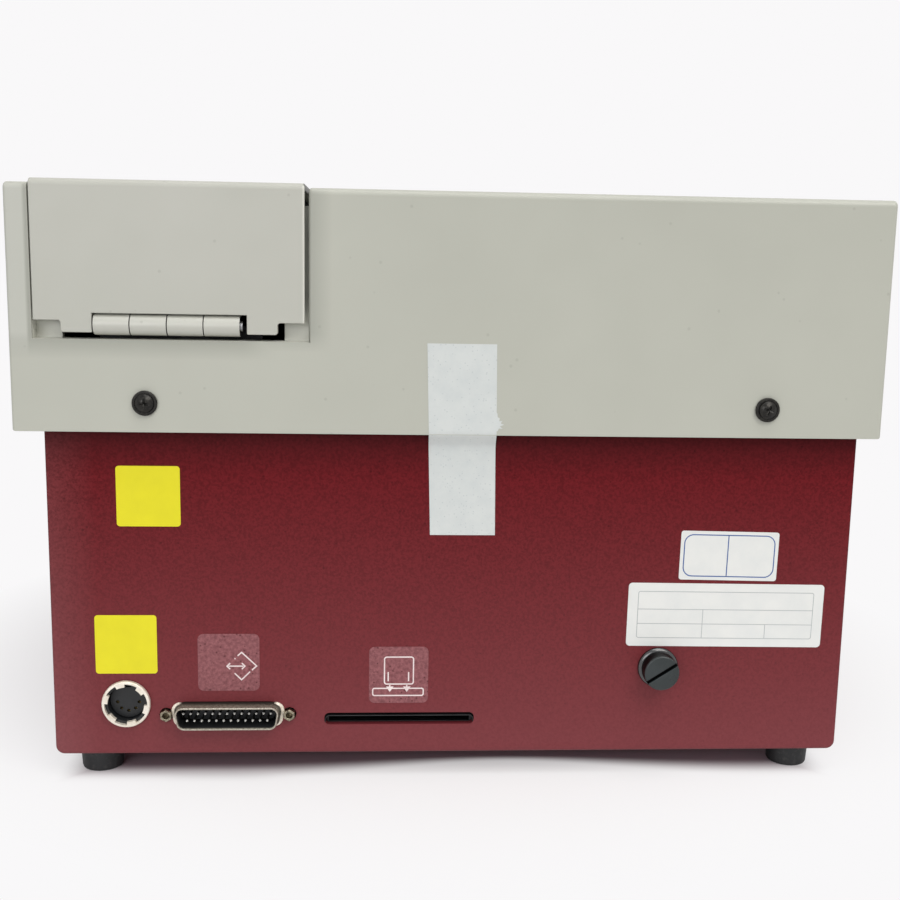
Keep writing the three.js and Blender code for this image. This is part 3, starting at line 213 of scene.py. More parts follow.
def grain(tree, place, size_mm, detail=2.0, roughness=0.5):
    """Noise whose blobs are about size_mm across."""
    inputs = {"Vector": place, "Scale": 1 / (size_mm * MM), "Detail": detail, "Roughness": roughness}
    return out_of(tree, "ShaderNodeTexNoise", inputs)


def uneven(tree, marks, rough, less, more):
    """A roughness that wanders with a noise."""
    return ramp(tree, marks, NOISE_LOW, NOISE_HIGH, rough - less, rough + more)


def relief(tree, height, depth_mm, strength):
    """Bump of a real depth."""
    inputs = {"Height": height, "Distance": depth_mm * MM, "Strength": strength}
    return out_of(tree, "ShaderNodeBump", inputs)


print("material helpers ready")

# %% [markdown]
# The studio is a white sweep in a dim room, lit by a wide soft box high in front of the rear, one overhead that
# draws the upper edges, and a weak one at the height of the camera. The camera sees the far sweep and the room as
# plain white, and so do rays that a mirror or glass sends on, so nothing on the object is lit harder to make the
# background white. For bounced light the sweep gets darker away from the object, as a real one does. The shade
# under the body is painted on the floor, with an edge placed to agree with the picture: a shallow arc, nearer and
# sharper towards the middle. The shadows of the lamps fall over it.

# %% Studio
FLOOR_SIZE = 8.0
ROOM_LIGHT = 0.5
ROOM_GREY = "F8F8F8"
SWEEP_NEAR, SWEEP_FAR = 0.38, 1.0
SWEEP_WHITE = "F9F8F9"
PAPER, PAPER_FAR, PAPER_SHADED = "F4F4F4", "6E6C6A", "AE9CA5"
WHITE_FROM, WHITE_TO, WHITE_SHARE = 0.155, 0.27, 0.42
SHADE_SIDE = 0.143
SHADE_REAR = 0.1587
SHADE_FALL = 0.0108
SHADE_SHARPEST, SHADE_SOFTEST = 0.00315, 0.0092
SHADE_INNER, SHADE_OUTER = -0.87, 1.13
ARC_MIDDLE = -0.022
ARC_REACH = 0.110
LAMP_AIM = Vector((0, 0.1, 0.1))
LAMPS = {
    "key soft box": ((-0.85, 1.55, 1.9), (1.6, 1.2), 24.3, "FFFCF8"),
    "overhead soft box": ((-0.15, 0.55, 2.2), (1.2, 0.8), 13, "FFFFFF"),
    "low fill soft box": ((0.9, 2.2, 0.7), (1.4, 1.0), 12, "FAFBFF"),
}


def seen_directly(tree):
    """1 for rays that come straight from the camera, or by a mirror or glass."""
    path = node(tree, "ShaderNodeLightPath").outputs
    total = path["Is Camera Ray"]
    for name in ("Is Glossy Ray", "Is Transmission Ray"):
        total = maths(tree, "MAXIMUM", total, path[name])
    return total


def make_world():
    world = bpy.data.worlds.new("white room")
    world.use_nodes = True
    tree = world.node_tree
    tree.nodes.clear()
    lit = node(tree, "ShaderNodeBackground", {"Color": linear(ROOM_GREY), "Strength": ROOM_LIGHT})
    shown = node(tree, "ShaderNodeBackground", {"Color": linear(SWEEP_WHITE), "Strength": 1.0})
    both = node(tree, "ShaderNodeMixShader", {0: seen_directly(tree), 1: lit.outputs[0], 2: shown.outputs[0]})
    node(tree, "ShaderNodeOutputWorld", {"Surface": both.outputs[0]})
    bpy.context.scene.world = world


def beyond_shade(tree, place):
    """0 under the body, rising to 1 just outside the edge of its shade."""
    aside = maths(tree, "ABSOLUTE", maths(tree, "SUBTRACT", axes_of(tree, place)["X"], ARC_MIDDLE))
    fall = ramp(tree, aside, 0.0, ARC_REACH, way="SMOOTHSTEP")
    spot = axes_of(tree, unsigned(tree, place))
    edge = ramp(tree, fall, 0.0, 1.0, SHADE_REAR, SHADE_REAR + SHADE_FALL)
    past_rear = maths(tree, "SUBTRACT", spot["Y"], edge)
    past_side = maths(tree, "SUBTRACT", spot["X"], SHADE_SIDE)
    past = maths(tree, "MAXIMUM", past_rear, past_side)
    softness = ramp(tree, fall, 0.0, 1.0, SHADE_SHARPEST, SHADE_SOFTEST)
    return ramp(tree, maths(tree, "DIVIDE", past, softness), SHADE_INNER, SHADE_OUTER, way="SMOOTHSTEP")


def make_floor():
    material, tree, place = new_material("matt white sweep")
    away = node(tree, "ShaderNodeVectorMath", {0: place}, operation="LENGTH").outputs["Value"]
    direct = seen_directly(tree)
    outside = beyond_shade(tree, place)
    dim = mix(tree, ramp(tree, away, SWEEP_NEAR, SWEEP_FAR), PAPER, PAPER_FAR)
    seen = mix(tree, outside, PAPER_SHADED, PAPER)
    near = node(tree, "ShaderNodeBsdfDiffuse", {"Color": mix(tree, direct, dim, seen)})
    white = node(tree, "ShaderNodeEmission", {"Color": linear(SWEEP_WHITE), "Strength": 1.0})
    whiter = ramp(tree, away, WHITE_FROM, WHITE_TO, WHITE_SHARE, 1.0)
    far = times(tree, whiter, outside, direct)
    total = node(tree, "ShaderNodeMixShader", {0: far, 1: near.outputs[0], 2: white.outputs[0]})
    node(tree, "ShaderNodeOutputMaterial", {"Surface": total.outputs[0]})
    mesh = bpy.data.meshes.new("floor")
    half = FLOOR_SIZE / 2
    mesh.from_pydata([(-half, -half, 0), (half, -half, 0), (half, half, 0), (-half, half, 0)], [], [(0, 1, 2, 3)])
    mesh.materials.append(material)
    add_to_scene("floor", mesh)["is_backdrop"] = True


def soft_box(name, place, size, power, colour):
    lamp = bpy.data.lights.new(name, "AREA")
    lamp.shape = "RECTANGLE"
    lamp.size, lamp.size_y = size
    lamp.energy = power
    lamp.color = linear(colour)[:3]
    lit = add_to_scene(name, lamp)
    lit.location = place
    lit.rotation_euler = (LAMP_AIM - Vector(place)).to_track_quat("-Z", "Y").to_euler()


make_world()
make_floor()
for lamp_name, settings in LAMPS.items():
    soft_box(lamp_name, *settings)
bpy.context.scene.view_settings.view_transform = "Standard"
print("room", ROOM_LIGHT, "lamps", list(LAMPS))

# %% [markdown]
# The CAD mesh is loose triangles. A copy is merged, its flat faces are made whole, its sharp convex edges get
# the small radius that paint or moulding leaves there, and it is shaded smooth below an angle. Weighted normals
# keep the big faces flat, so that only the rounded edges catch the light; a shallow bend between two broad faces,
# as on the console, stays a crease.

# %% Helpers for pieces
SMOOTH_ANGLE = math.radians(38)
SHARP_ANGLE = math.radians(50)
CREASE_ANGLE = math.radians(5)
FLAT_ANGLE = math.radians(0.4)
BROAD_MM = 12.0
BIG_MM2 = 80.0
MERGE = 0.004 * MM
SLIVER = 0.02 * MM


def merged(node_name):
    """A bmesh like a CAD node, with its triangles joined and flat faces whole."""
    bm = bmesh.new()
    bm.from_mesh(frame["nodes"][node_name].data)
    bmesh.ops.remove_doubles(bm, verts=bm.verts, dist=MERGE)
    bmesh.ops.dissolve_limit(bm, angle_limit=FLAT_ANGLE, verts=bm.verts, edges=bm.edges)
    return bm


def round_edges(bm, width_mm, segments, test=lambda edge: True, **settings):
    """Rounds the sharp convex edges that pass a test, and says how many."""
    sharp = [e for e in bm.edges if e.is_manifold and e.is_convex and e.calc_face_angle(0) > SHARP_ANGLE and test(e)]
    width = width_mm * MM
    bmesh.ops.bevel(bm, geom=sharp, offset=width, segments=segments, profile=0.5, affect="EDGES", **settings)
    return len(sharp)


def soften(bm, width_mm, test=lambda edge: True):
    """Rounds the edges as paint or moulding leaves them."""
    round_edges(bm, width_mm, 2, test, clamp_overlap=True)
    bmesh.ops.dissolve_degenerate(bm, edges=bm.edges, dist=SLIVER)


def crease(mesh):
    """Marks the shallow bends between broad faces, and the places where a radius runs out to nothing."""
    faces_of, big_at = {}, {}
    for face in mesh.polygons:
        for key in face.edge_keys:
            faces_of.setdefault(key, []).append(face)
        if face.area > BIG_MM2 * MM * MM:
            for i in face.vertices:
                big_at.setdefault(i, []).append(face.normal)
    run_out = {i for i, ways in big_at.items() if any(ways[0].angle(way, 0) > SHARP_ANGLE for way in ways[1:])}
    for edge in mesh.edges:
        faces = faces_of.get(edge.key, [])
        if len(faces) != 2:
            continue
        first, second = (mesh.vertices[i].co for i in edge.vertices)
        width = min(face.area for face in faces) / max((second - first).length, MM)
        bend = faces[0].normal.angle(faces[1].normal, 0)
        if bend > CREASE_ANGLE and (width > BROAD_MM * MM or run_out.intersection(edge.vertices)):
            edge.use_edge_sharp = True


def piece(name, shape, material, body, replaces=()):
    """Makes a finished object of a bmesh or a mesh, riding on a body."""
    mesh = shape
    if isinstance(shape, bmesh.types.BMesh):
        mesh = bpy.data.meshes.new(name)
        shape.to_mesh(mesh)
        shape.free()
    mesh.materials.clear()
    mesh.materials.append(material)
    mesh.shade_smooth()
    mesh.set_sharp_from_angle(angle=SMOOTH_ANGLE)
    crease(mesh)
    obj = add_to_scene(name, mesh)
    obj.modifiers.new("flat faces stay flat", "WEIGHTED_NORMAL").keep_sharp = True
    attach(obj, body)
    if replaces:
        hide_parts(*replaces)
    return obj


BODY_OF = {n: body for body, nodes in frame["record"]["behaviour"]["bodies"].items() for n in nodes}


def dress(node_name, material, edge_mm):
    """Replaces a CAD node by its own shape, merged, softened and in its real finish."""
    bm = merged(node_name)
    soften(bm, edge_mm)
    return piece(f"{node_name}_finished", bm, material, BODY_OF[node_name], [node_name])


def dress_all(finishes):
    """Dresses each named node in its finish, with its edge radius in mm."""
    for node_name, finish in finishes.items():
        dress(node_name, *finish)
    print(len(finishes), "parts dressed")


print("nodes on bodies", len(BODY_OF))

# %% [markdown]
# The two housings are painted sheet metal. The top housing and lid have a smooth satin two-pack paint: a faint
# orange peel and a broad soft gloss, with a very slight cloudiness. The tub has a stoved wrinkle paint. Its
# worm-like folds are about half a millimetre wide, too fine for this picture, so they are drawn one millimetre
# wide, and they break up the gloss.
#
# Some tones are laid on by place, and they are painted light and shade. The tub is darker at its top and
# paler towards the bottom, as painted light from the floor, with painted shade just under the seam and a
# little painted light along its +X side; its sheen is set stronger towards the bottom with that light. The grey
# paint has painted shade round the lid, on the lid's side towards the gap and on the ends of the hinge
# knuckles, painted light in the recess round the lid and on the outer strip of the rear, and a painted
# highlight along the lid's edge beside the gap. These belong to the paint and stay where they are under any light.

# %% Paints
CLOUD_MM, GLOSS_PATCH_MM = 70, 18
PEEL_MM, PEEL_DEPTH_MM = 1.6, 0.02
WRINKLE_MM, WRINKLE_DEPTH_MM = 1.0, 0.06
BEND_WIDTHS, BEND_REACH = 2.4, 1.2
FOLD_EDGE, FOLD_FLOOR = 0.62, 0.34
DOT_FULL, DOT_GONE = 0.2, 0.32
DUST_MM, DUST_CELLS, DUST_SHARE = 2.2, 0.012, 0.22
PIT_MM, PIT_CELLS, PIT_SEED = 1.6, 0.05, 0.37
DEEP_ABOVE, PALE_BELOW = 0.120, 0.015
SEAM_SHADE = (0.1345, 0.119)
SIDE_PAINTED_LIGHT = (0.134, 0.153)

# Each span is an axis, where the tone starts and where it is full, in metres.
LID_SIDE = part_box("lid")[0].x / MM
# On the lid: painted shade on its side in the gap, and a painted highlight along its edge.
GAP_SIDE_SHADE = [("X", (LID_SIDE + 0.5) * MM, (LID_SIDE + 0.3) * MM), ("Y", 0.1774, 0.1771)]
LID_EDGE_HIGHLIGHT = [("X", (LID_SIDE + 0.8) * MM, (LID_SIDE + 0.6) * MM), ("Y", 0.1774, 0.1777)]
REAR_FACE = [("Y", 0.1768, 0.1776)]
# Where painted shade and painted light go on the rear of the top housing.
BESIDE_LID = [("X", 0.046, 0.0545), ("Z", 0.166, 0.173)]
BELOW_LID = [("Z", 0.1625, 0.1695), ("X", 0.066, 0.078)]
OUTER_STRIP_PAINTED_LIGHT = [("X", 0.1545, 0.1555), ("Z", 0.163, 0.172)]
RECESS_PAINTED_LIGHT = [
    [("Z", 0.185, 0.178), ("Z", 0.168, 0.169)],
    [("Y", 0.1772, 0.1768), ("Y", 0.16, 0.161)],
    [("X", 0.0543, 0.0548), ("X", 0.1600, 0.1595)],
]


def specks(tree, place, size_mm, share, seed=0.0):
    """Scattered dots, 1 inside a dot: only the given share of the cells has one."""
    moved = out_of(tree, "ShaderNodeMapping", {"Vector": place, "Location": (seed, seed, seed)})
    cells = node(tree, "ShaderNodeTexVoronoi", {"Vector": moved, "Scale": 1 / (size_mm * MM)}).outputs
    small = ramp(tree, cells["Distance"], DOT_FULL, DOT_GONE, 1.0, 0.0)
    chance = node(tree, "ShaderNodeSeparateColor", {"Color": cells["Color"]}).outputs["Red"]
    return times(tree, small, ramp(tree, chance, share, share * 0.99))


def clouded(tree, place, first, second, size_mm, detail=3, roughness=0.6, low=0.35):
    """Two colours that go over into each other in soft patches."""
    return mix(tree, ramp(tree, grain(tree, place, size_mm, detail, roughness), low, NOISE_HIGH), first, second)


def tone(tree, colour, share, hex_colour, *parts):
    """Lays a share of one more colour over another where every part is 1."""
    return mix(tree, times(tree, *parts, share), colour, hex_colour)


def housing_tones(tree, place, colour):
    """Painted shade round the lid; painted light in the recess round it and on the outer strip of the rear."""
    spot = axes_of(tree, place)
    rear = region(tree, spot, REAR_FACE)
    painted_shade_round_lid = maths(tree, "MAXIMUM", region(tree, spot, BESIDE_LID), region(tree, spot, BELOW_LID))
    # Painted shade beside and below the lid, then painted light in the recess and on the outer strip.
    colour = tone(tree, colour, 0.46, "7C7D74", painted_shade_round_lid, rear)
    colour = tone(tree, colour, 0.6, "EEEEE4", *[region(tree, spot, spans) for spans in RECESS_PAINTED_LIGHT])
    return tone(tree, colour, 0.5, "D2D3CA", region(tree, spot, OUTER_STRIP_PAINTED_LIGHT), rear)


def lid_tones(tree, place, colour):
    """Painted shade on the side that faces the gap, with a painted highlight along the edge beside it."""
    spot = axes_of(tree, place)
    colour = tone(tree, colour, 0.8, "24251F", region(tree, spot, GAP_SIDE_SHADE))
    return tone(tree, colour, 0.38, "F4F4EA", region(tree, spot, LID_EDGE_HIGHLIGHT))


def knuckle_tones(tree, place, colour):
    """Painted shade on the faces that look along X, in the gaps where the knuckles meet."""
    facing = node(tree, "ShaderNodeNewGeometry").outputs["True Normal"]
    return mix(tree, ramp(tree, axes_of(tree, unsigned(tree, facing))["X"], 0.6, 0.8), colour, "1C1D19")


def satin_paint(name, slot, base, mottle_and_floor_light, tones, gloss=0.42):
    """Two-pack satin paint; tones lays painted shade and painted light over it by place."""
    material, tree, place = new_material(name, slot)
    colour = clouded(tree, place, base, mottle_and_floor_light, CLOUD_MM, low=NOISE_LOW)
    colour = tone(tree, colour, DUST_SHARE, "85847A", specks(tree, place, DUST_MM, DUST_CELLS))
    rough = uneven(tree, grain(tree, place, GLOSS_PATCH_MM, 3), gloss, 0.05, 0.07)
    wave = relief(tree, grain(tree, place, PEEL_MM, 1.5), PEEL_DEPTH_MM, 0.5)
    shade(tree, Base_Color=tones(tree, place, colour), Roughness=rough, Normal=wave, IOR=1.5)
    return material


def wrinkle_paint(name, slot, deep, pale):
    """Stoved wrinkle paint: folds made by a noise that is bent by another one, over painted light and shade."""
    material, tree, place = new_material(name, slot)
    bend = {"Vector": place, "Scale": 1 / (BEND_WIDTHS * WRINKLE_MM * MM), "Detail": 1.0}
    offset = {0: node(tree, "ShaderNodeTexNoise", bend).outputs["Color"], "Scale": BEND_REACH * WRINKLE_MM * MM}
    offset = out_of(tree, "ShaderNodeVectorMath", offset, operation="SCALE")
    bent = out_of(tree, "ShaderNodeVectorMath", {0: place, 1: offset}, operation="ADD")
    folds = grain(tree, bent, WRINKLE_MM, 2.0, 0.55)
    spot = axes_of(tree, place)
    # Painted light from the floor: the paint is darker at the top and paler towards the bottom.
    mottle_and_floor_light = ramp(tree, spot["Z"], DEEP_ABOVE, PALE_BELOW)
    colour = mix(tree, maths(tree, "POWER", mottle_and_floor_light, 1.25), deep, pale)
    # Painted light along the +X side of the tub.
    colour = mix(tree, ramp(tree, spot["X"], *SIDE_PAINTED_LIGHT, 0.0, 0.1), colour, "B98A8C")
    colour = mix(tree, ramp(tree, spot["Z"], *SEAM_SHADE, 0.52, 0.0), colour, "1A0405")
    contrast = ramp(tree, mottle_and_floor_light, 0.0, 1.0, 0.36, 0.13)
    colour = tone(tree, colour, contrast, "2A0507", ramp(tree, folds, FOLD_EDGE, FOLD_FLOOR))
    colour = tone(tree, colour, contrast, "1C0406", specks(tree, place, PIT_MM, PIT_CELLS, PIT_SEED))
    rough = ramp(tree, folds, NOISE_LOW, NOISE_HIGH, 0.6, 0.5)
    bump = relief(tree, folds, WRINKLE_DEPTH_MM, 0.45)
    # The sheen is set stronger towards the bottom, with the painted light from the floor.
    sheen = ramp(tree, mottle_and_floor_light, 0.0, 1.0, 0.1, 0.5)
    shade(tree, Base_Color=colour, Roughness=rough, Normal=bump, IOR=1.45, Specular_IOR_Level=sheen)
    return material


grey_paint = satin_paint("satin grey two-pack paint", "grey_paint", "B4B5AA", "B9BAAF", housing_tones)
lid_paint = satin_paint("satin grey paint of the lid", "grey_paint", "B5B6AC", "BBBBB2", lid_tones)
hinge_paint = satin_paint("satin grey paint on the hinge", "cream_paint", "BFBFB6", "C5C5BC", knuckle_tones, 0.3)
wrinkle_burgundy = wrinkle_paint("burgundy wrinkle paint", "burgundy_paint", "6A191F", "732A30")
print("paints", grey_paint.name, hinge_paint.name, wrinkle_burgundy.name)

# %% [markdown]
# The rest of the finishes, each built from what it is. Moulded black plastics have a fine spark-eroded grain;
# rubber is rougher and picks up dust; blackened steel is a thin oxide over metal, so it keeps a soft metallic
# sheen; turned and drawn bars show fine lines along or round them.

# %% Finishes of plastics and rubber
MOTTLE_MM, MOULD_GLOSS_MM = 14, 6
POWDER, POWDER_MM, POWDER_FROM, POWDER_TO = "8D8A84", 2.0, 0.52, 0.75
BEHIND_FACE_MM, DARK_FROM_MM = 0.6, 0.75


def moulded(name, slot, base, light, rough=0.42, grain_mm=0.35, depth_mm=0.012, dust=0.0, ior=1.49, face=None):
    """A moulded polymer, finely grained; behind its face, at Y in mm, painted shade makes it dark and dull."""
    material, tree, place = new_material(name, slot)
    colour = clouded(tree, place, base, light, MOTTLE_MM, roughness=0.5)
    if dust:
        powder = grain(tree, place, POWDER_MM, 4, 0.7)
        colour = mix(tree, ramp(tree, powder, POWDER_FROM, POWDER_TO, 0.0, dust), colour, POWDER)
    sheen = 0.5
    if face is not None:
        # Painted shade: the slot and the side behind the face are made dark and their sheen is damped.
        places = (face - DARK_FROM_MM) * MM, (face - BEHIND_FACE_MM) * MM
        behind = ramp(tree, axes_of(tree, place)["Y"], *places, 1.0, 0.0)
        colour = mix(tree, behind, colour, "060707")
        sheen = ramp(tree, behind, 0.0, 1.0, 0.5, 0.08)
    gloss = uneven(tree, grain(tree, place, MOULD_GLOSS_MM, 3), rough, 0.05, 0.08)
    bump = relief(tree, grain(tree, place, grain_mm, 2), depth_mm, 0.6)
    shade(tree, Base_Color=colour, Roughness=gloss, Normal=bump, IOR=ior, Specular_IOR_Level=sheen)
    return material


black_rubber = moulded("black rubber", "black_rubber", "0B0C0E", "131416", 0.62, 0.5, 0.02, 0.1, 1.52)
black_nylon = moulded("black glass-filled nylon", "black_plastic", "161719", "202224", 0.4)
black_liner = moulded("black acrylic lining", "black_plastic", "141416", "1C1D1F", 0.55)
holder_plastic = moulded(
    "polished phenolic of the fuse holder", "black_plastic", "0C0E0E", "131516", 0.1, 0.6, 0.002, ior=1.85
)
cap_plastic = moulded(
    "dark phenolic of the fuse cap", "black_plastic", "1F2626", "293031", 0.3, 0.6, 0.006, 0.03,
    face=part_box("fuse_cap")[1].y / MM,
)
seal_foam = moulded("grey closed-cell foam", "grey_foam", "4A4B4E", "5A5C5E", 0.92, 0.8, 0.12, 0.1)
keypad_film = moulded("grey polyester keypad film", "keypad_film", "C9C8BF", "D2D1C9", 0.5, 0.5, 0.008)
key_film = moulded("pale printed key film", "keypad_film", "E2E1DA", "E9E8E2", 0.42, 0.5, 0.008)
key_print = moulded("burgundy printed key film", "keypad_film", "7B3238", "84393F", 0.45, 0.5, 0.008)
sleeve_blue = moulded("blue heat-shrink sleeve", "can_blue", "22364D", "2B425C", 0.35)
solder_mask = moulded("green solder mask", "green_board", "1F4D33", "2B5F41", 0.35, 1.2, 0.01)
print("plastics made")

# %% Finishes of metals
LINE_STRETCH = 0.03
LINE_DEPTH_MM = 0.004


def metal(name, slot, base, stain, rough=0.3, stain_mm=4.0, lines="", line_mm=0.25, metallic=1.0):
    """A bare or plated metal; lines names the axis along which it was drawn or brushed."""
    material, tree, place = new_material(name, slot)
    colour = clouded(tree, place, base, stain, stain_mm, 4, low=0.42)
    squeeze = [LINE_STRETCH if axis == lines else 1 for axis in "XYZ"]
    stretched = out_of(tree, "ShaderNodeMapping", {"Vector": place, "Scale": squeeze})
    marks = grain(tree, stretched, line_mm, 3, 0.6)
    gloss = uneven(tree, marks, rough, 0.06, 0.12)
    shade(tree, Base_Color=colour, Metallic=metallic, Roughness=gloss, Normal=relief(tree, marks, LINE_DEPTH_MM, 0.5))
    return material


black_oxide = metal("black oxide steel", "black_screw", "232220", "34322E", 0.24, 1.2, metallic=0.7)
nickel_cream = metal("yellowed nickel plate", "cream_paint", "EFE8DC", "DCD2C2", 0.36, 3.0, metallic=0.35)
drawn_steel = metal("ground steel bar", "bright_steel", "B9BCC0", "A6A8AA", 0.22, 8, "Y")
turned_steel = metal("turned steel", "bright_steel", "B4B6BA", "9A9B9C", 0.28, 5)
sheet_aluminium = metal("brushed aluminium sheet", "aluminium", "A9ADB0", "9A9DA0", 0.36, 10, "X", 0.3)
turned_brass = metal("turned brass", "brass", "B99A55", "9B7F42", 0.3, 4)
gold_flash = metal("gold flash on contacts", "brass", "A08A58", "7A6840", 0.3, 2)
tin_pin = metal("bright tinned pins", "tinned_steel", "F0EFEA", "E2E0D8", 0.36, 1, metallic=0.55)
stained_zinc = metal("stained zinc plate", "tinned_steel", "A39A86", "2C261E", 0.3, 0.7)
print("metals made")

# %% [markdown]
# Clear parts and labels. The display window is smoked acrylic over a reflective liquid-crystal panel. The labels
# are printed polyester: yellow, white, and a frosted overlay that lets the wrinkle paint show rose through it.
# What is drawn on them is laid on as a thin film of its own, so its edges stay crisp at any distance.

# %% Finishes of glass and labels
WIPE_MM, WIPE_FROM, WIPE_DULLER = 12, 0.4, 0.06
FILM_GLOSS_MM, FILM_WAVE_MM, FILM_DEPTH_MM = 5, 2 * WRINKLE_MM, 0.02
FLECK_SEED = 0.11


def clear(name, tint, rough=0.03, ior=1.49):
    """A clear solid; faint wipe marks break up its gloss."""
    material, tree, place = new_material(name, "clear_glass")
    gloss = ramp(tree, grain(tree, place, WIPE_MM, 4, 0.6), WIPE_FROM, NOISE_HIGH, rough, rough + WIPE_DULLER)
    shade(tree, Base_Color=linear(tint), Roughness=gloss, Transmission_Weight=1.0, IOR=ior)
    return material


def printed(name, base, cloudy, rough, blotch_mm=9.0, fleck=None):
    """Label film or ink on it; a fleck is its colour, the share of the cells that have one, and their size in mm."""
    material, tree, place = new_material(name, "keypad_film")
    colour = clouded(tree, place, base, cloudy, blotch_mm)
    if fleck:
        fleck_colour, share, size_mm = fleck
        colour = mix(tree, specks(tree, place, size_mm, share, FLECK_SEED), colour, fleck_colour)
    gloss = uneven(tree, grain(tree, place, FILM_GLOSS_MM, 3), rough, 0.05, 0.08)
    bump = relief(tree, grain(tree, place, FILM_WAVE_MM, 2), FILM_DEPTH_MM, 0.35)
    shade(tree, Base_Color=colour, Roughness=gloss, Normal=bump, IOR=1.5)
    return material


smoked_acrylic = clear("smoked acrylic window", "8FA39B")
fuse_glass = clear("clear fuse glass", "F2F6F4", 0.01, 1.52)
dark_glass = clear("dark photomultiplier glass", "3F4A46", 0.02, 1.52)
crystal_panel = printed("green-grey liquid-crystal panel", "8C9A78", "95A381", 0.3)
yellow_label = printed("yellow polyester label", "E4DA08", "DFD506", 0.35)
white_label = printed("white polyester label", "E3E4E1", "DDDFDD", 0.4)
seal_label = printed("white matt seal strip", "D2D6D4", "CBD0CF", 0.48, 6.0, ("BEC4C4", 0.25, 0.9))
frosted_label = printed("frosted polycarbonate overlay", "91565A", "6A3338", 0.5, 1.3, ("5A2226", 0.35, 1.5))
grey_ink = printed("grey label ink", "A9ADAE", "B4B8B9", 0.5)
blue_ink = printed("blue label ink", "3C5B94", "4866A0", 0.45)
white_ink = printed("white screen ink", "EDE0DE", "DCCBCA", 0.5)
print("labels and clear parts made")

# %% [markdown]
# Now the housings. Their shapes are right in the CAD model, so they are dressed: the edges of folded and painted
# sheet metal have a radius of a few tenths of a millimetre, which draws the fine bright lines round the lid and
# the opening behind it. On the lid's side towards the gap, a painted highlight runs along that line too.

# %% Housings and lid
RECESS_SIDE, NEAR_SIDE = 54.5, 0.3
REAR_FROM, CORNER_FROM, CORNER_ABOVE, ROOF_FROM = 177.5, 176, 222.4, 224


def beside_lid(edge):
    """The edge of the recess next to the lid: up the rear, round the corner and along the roof."""
    first, second = (v.co / MM for v in edge.verts)
    middle = (first + second) / 2
    upright = middle.y > REAR_FROM and abs(second.z - first.z) > abs(second.y - first.y)
    corner = middle.y > CORNER_FROM and middle.z > CORNER_ABOVE
    near = max(abs(first.x - RECESS_SIDE), abs(second.x - RECESS_SIDE)) < NEAR_SIDE
    return near and (upright or corner or middle.z > ROOF_FROM)


dress("base_tub", wrinkle_burgundy, 0.35)
shell = merged("top_housing")
soften(shell, 0.45, lambda edge: not beside_lid(edge))
print("rounded beside the lid:", round_edges(shell, 1.2, 3, beside_lid))
piece("top_housing_finished", shell, grey_paint, "base", ["top_housing"])
dress_all({"lid": (lid_paint, 0.5), "lid_seal": (seal_foam, 0.5), "lid_magnet": (turned_steel, 0.3)})

# %% [markdown]
# The hinge is a butt hinge whose leaves are out of sight behind the lid; only its four knuckles show between the
# two tabs, two for each leaf. They are painted in the grey of the lid, and their rounded ends, in the narrow
# gaps between them, are painted dark as painted shade.

# %% Hinge
dress_all({
    "hinge_leaf_lid": (hinge_paint, 0.7),
    "hinge_leaf_housing": (hinge_paint, 0.7),
    "hinge_pin": (turned_steel, 0.3),
})

# %% [markdown]
# Fasteners, feet and sockets are small turned or pressed parts. They keep the CAD shape too, with finer radii.

# %% Small parts at the rear
CORNERS = [f"{end}_{side}" for end in ("rear", "front") for side in ("left", "right")]
FOOT_FINISHES = {"foot": (black_rubber, 0.3), "foot_screw": (turned_steel, 0.2)}
dress_all({
    "cup_washer_left": (black_oxide, 0.12),
    "cup_washer_right": (black_oxide, 0.12),
    "power_socket_insert": (black_nylon, 0.25),
    "jackscrew_left": (stained_zinc, 0.2),
    "jackscrew_right": (stained_zinc, 0.2),
    "card_reader": (black_nylon, 0.2),
    "fuse_holder_nut": (black_nylon, 0.2),
    "fuse_cap": (cap_plastic, 0.25),
    **{f"{part}_{corner}": finish for corner in CORNERS for part, finish in FOOT_FINISHES.items()},
})

# %% [markdown]
# What works inside shows when the lid is open or the tray has run forward. Sheet, bars and moulded pieces each
# take their own finish.

# %% Parts inside
dress_all({
    "well_liner": (black_liner, 0.4),
    "chamber_tray": (black_nylon, 0.35),
    "lead_nut": (turned_brass, 0.2),
    "tray_frame": (sheet_aluminium, 0.3),
    "guide_rod_left": (drawn_steel, 0.3),
    "guide_rod_right": (drawn_steel, 0.3),
    "screw_bearing": (turned_brass, 0.2),
    "shaft_coupler": (sheet_aluminium, 0.3),
    "stepper_motor": (black_oxide, 0.4),
    "detector_housing": (black_liner, 0.5),
    "detector_tube": (dark_glass, 0.4),
    "detector_socket": (black_nylon, 0.4),
    "display_module": (black_nylon, 0.3),
    "main_board": (solder_mask, 0.1),
    "heat_sink": (sheet_aluminium, 0.2),
    "smoothing_capacitor_1": (sleeve_blue, 0.5),
    "smoothing_capacitor_2": (sleeve_blue, 0.5),
    **{f"board_standoff_{number}": (turned_brass, 0.2) for number in range(1, 5)},
})

# %% [markdown]
# Rules for what repeats. A Geometry Nodes tree is built here in the script: its sizes are named inputs, it ends
# in Realize Instances and Set Material, and the evaluated result becomes a plain mesh before it rides anywhere.

# %% Helpers for rules


def new_rule(name, sizes):
    """A Geometry Nodes tree with one named input for each size; whole numbers are counts."""
    tree = bpy.data.node_groups.new(name, "GeometryNodeTree")
    tree.interface.new_socket("Geometry", in_out="OUTPUT", socket_type="NodeSocketGeometry")
    for size, value in sizes.items():
        kind = "NodeSocketInt" if isinstance(value, int) else "NodeSocketFloat"
        tree.interface.new_socket(size, in_out="INPUT", socket_type=kind)
    return tree, tree.nodes.new("NodeGroupInput").outputs


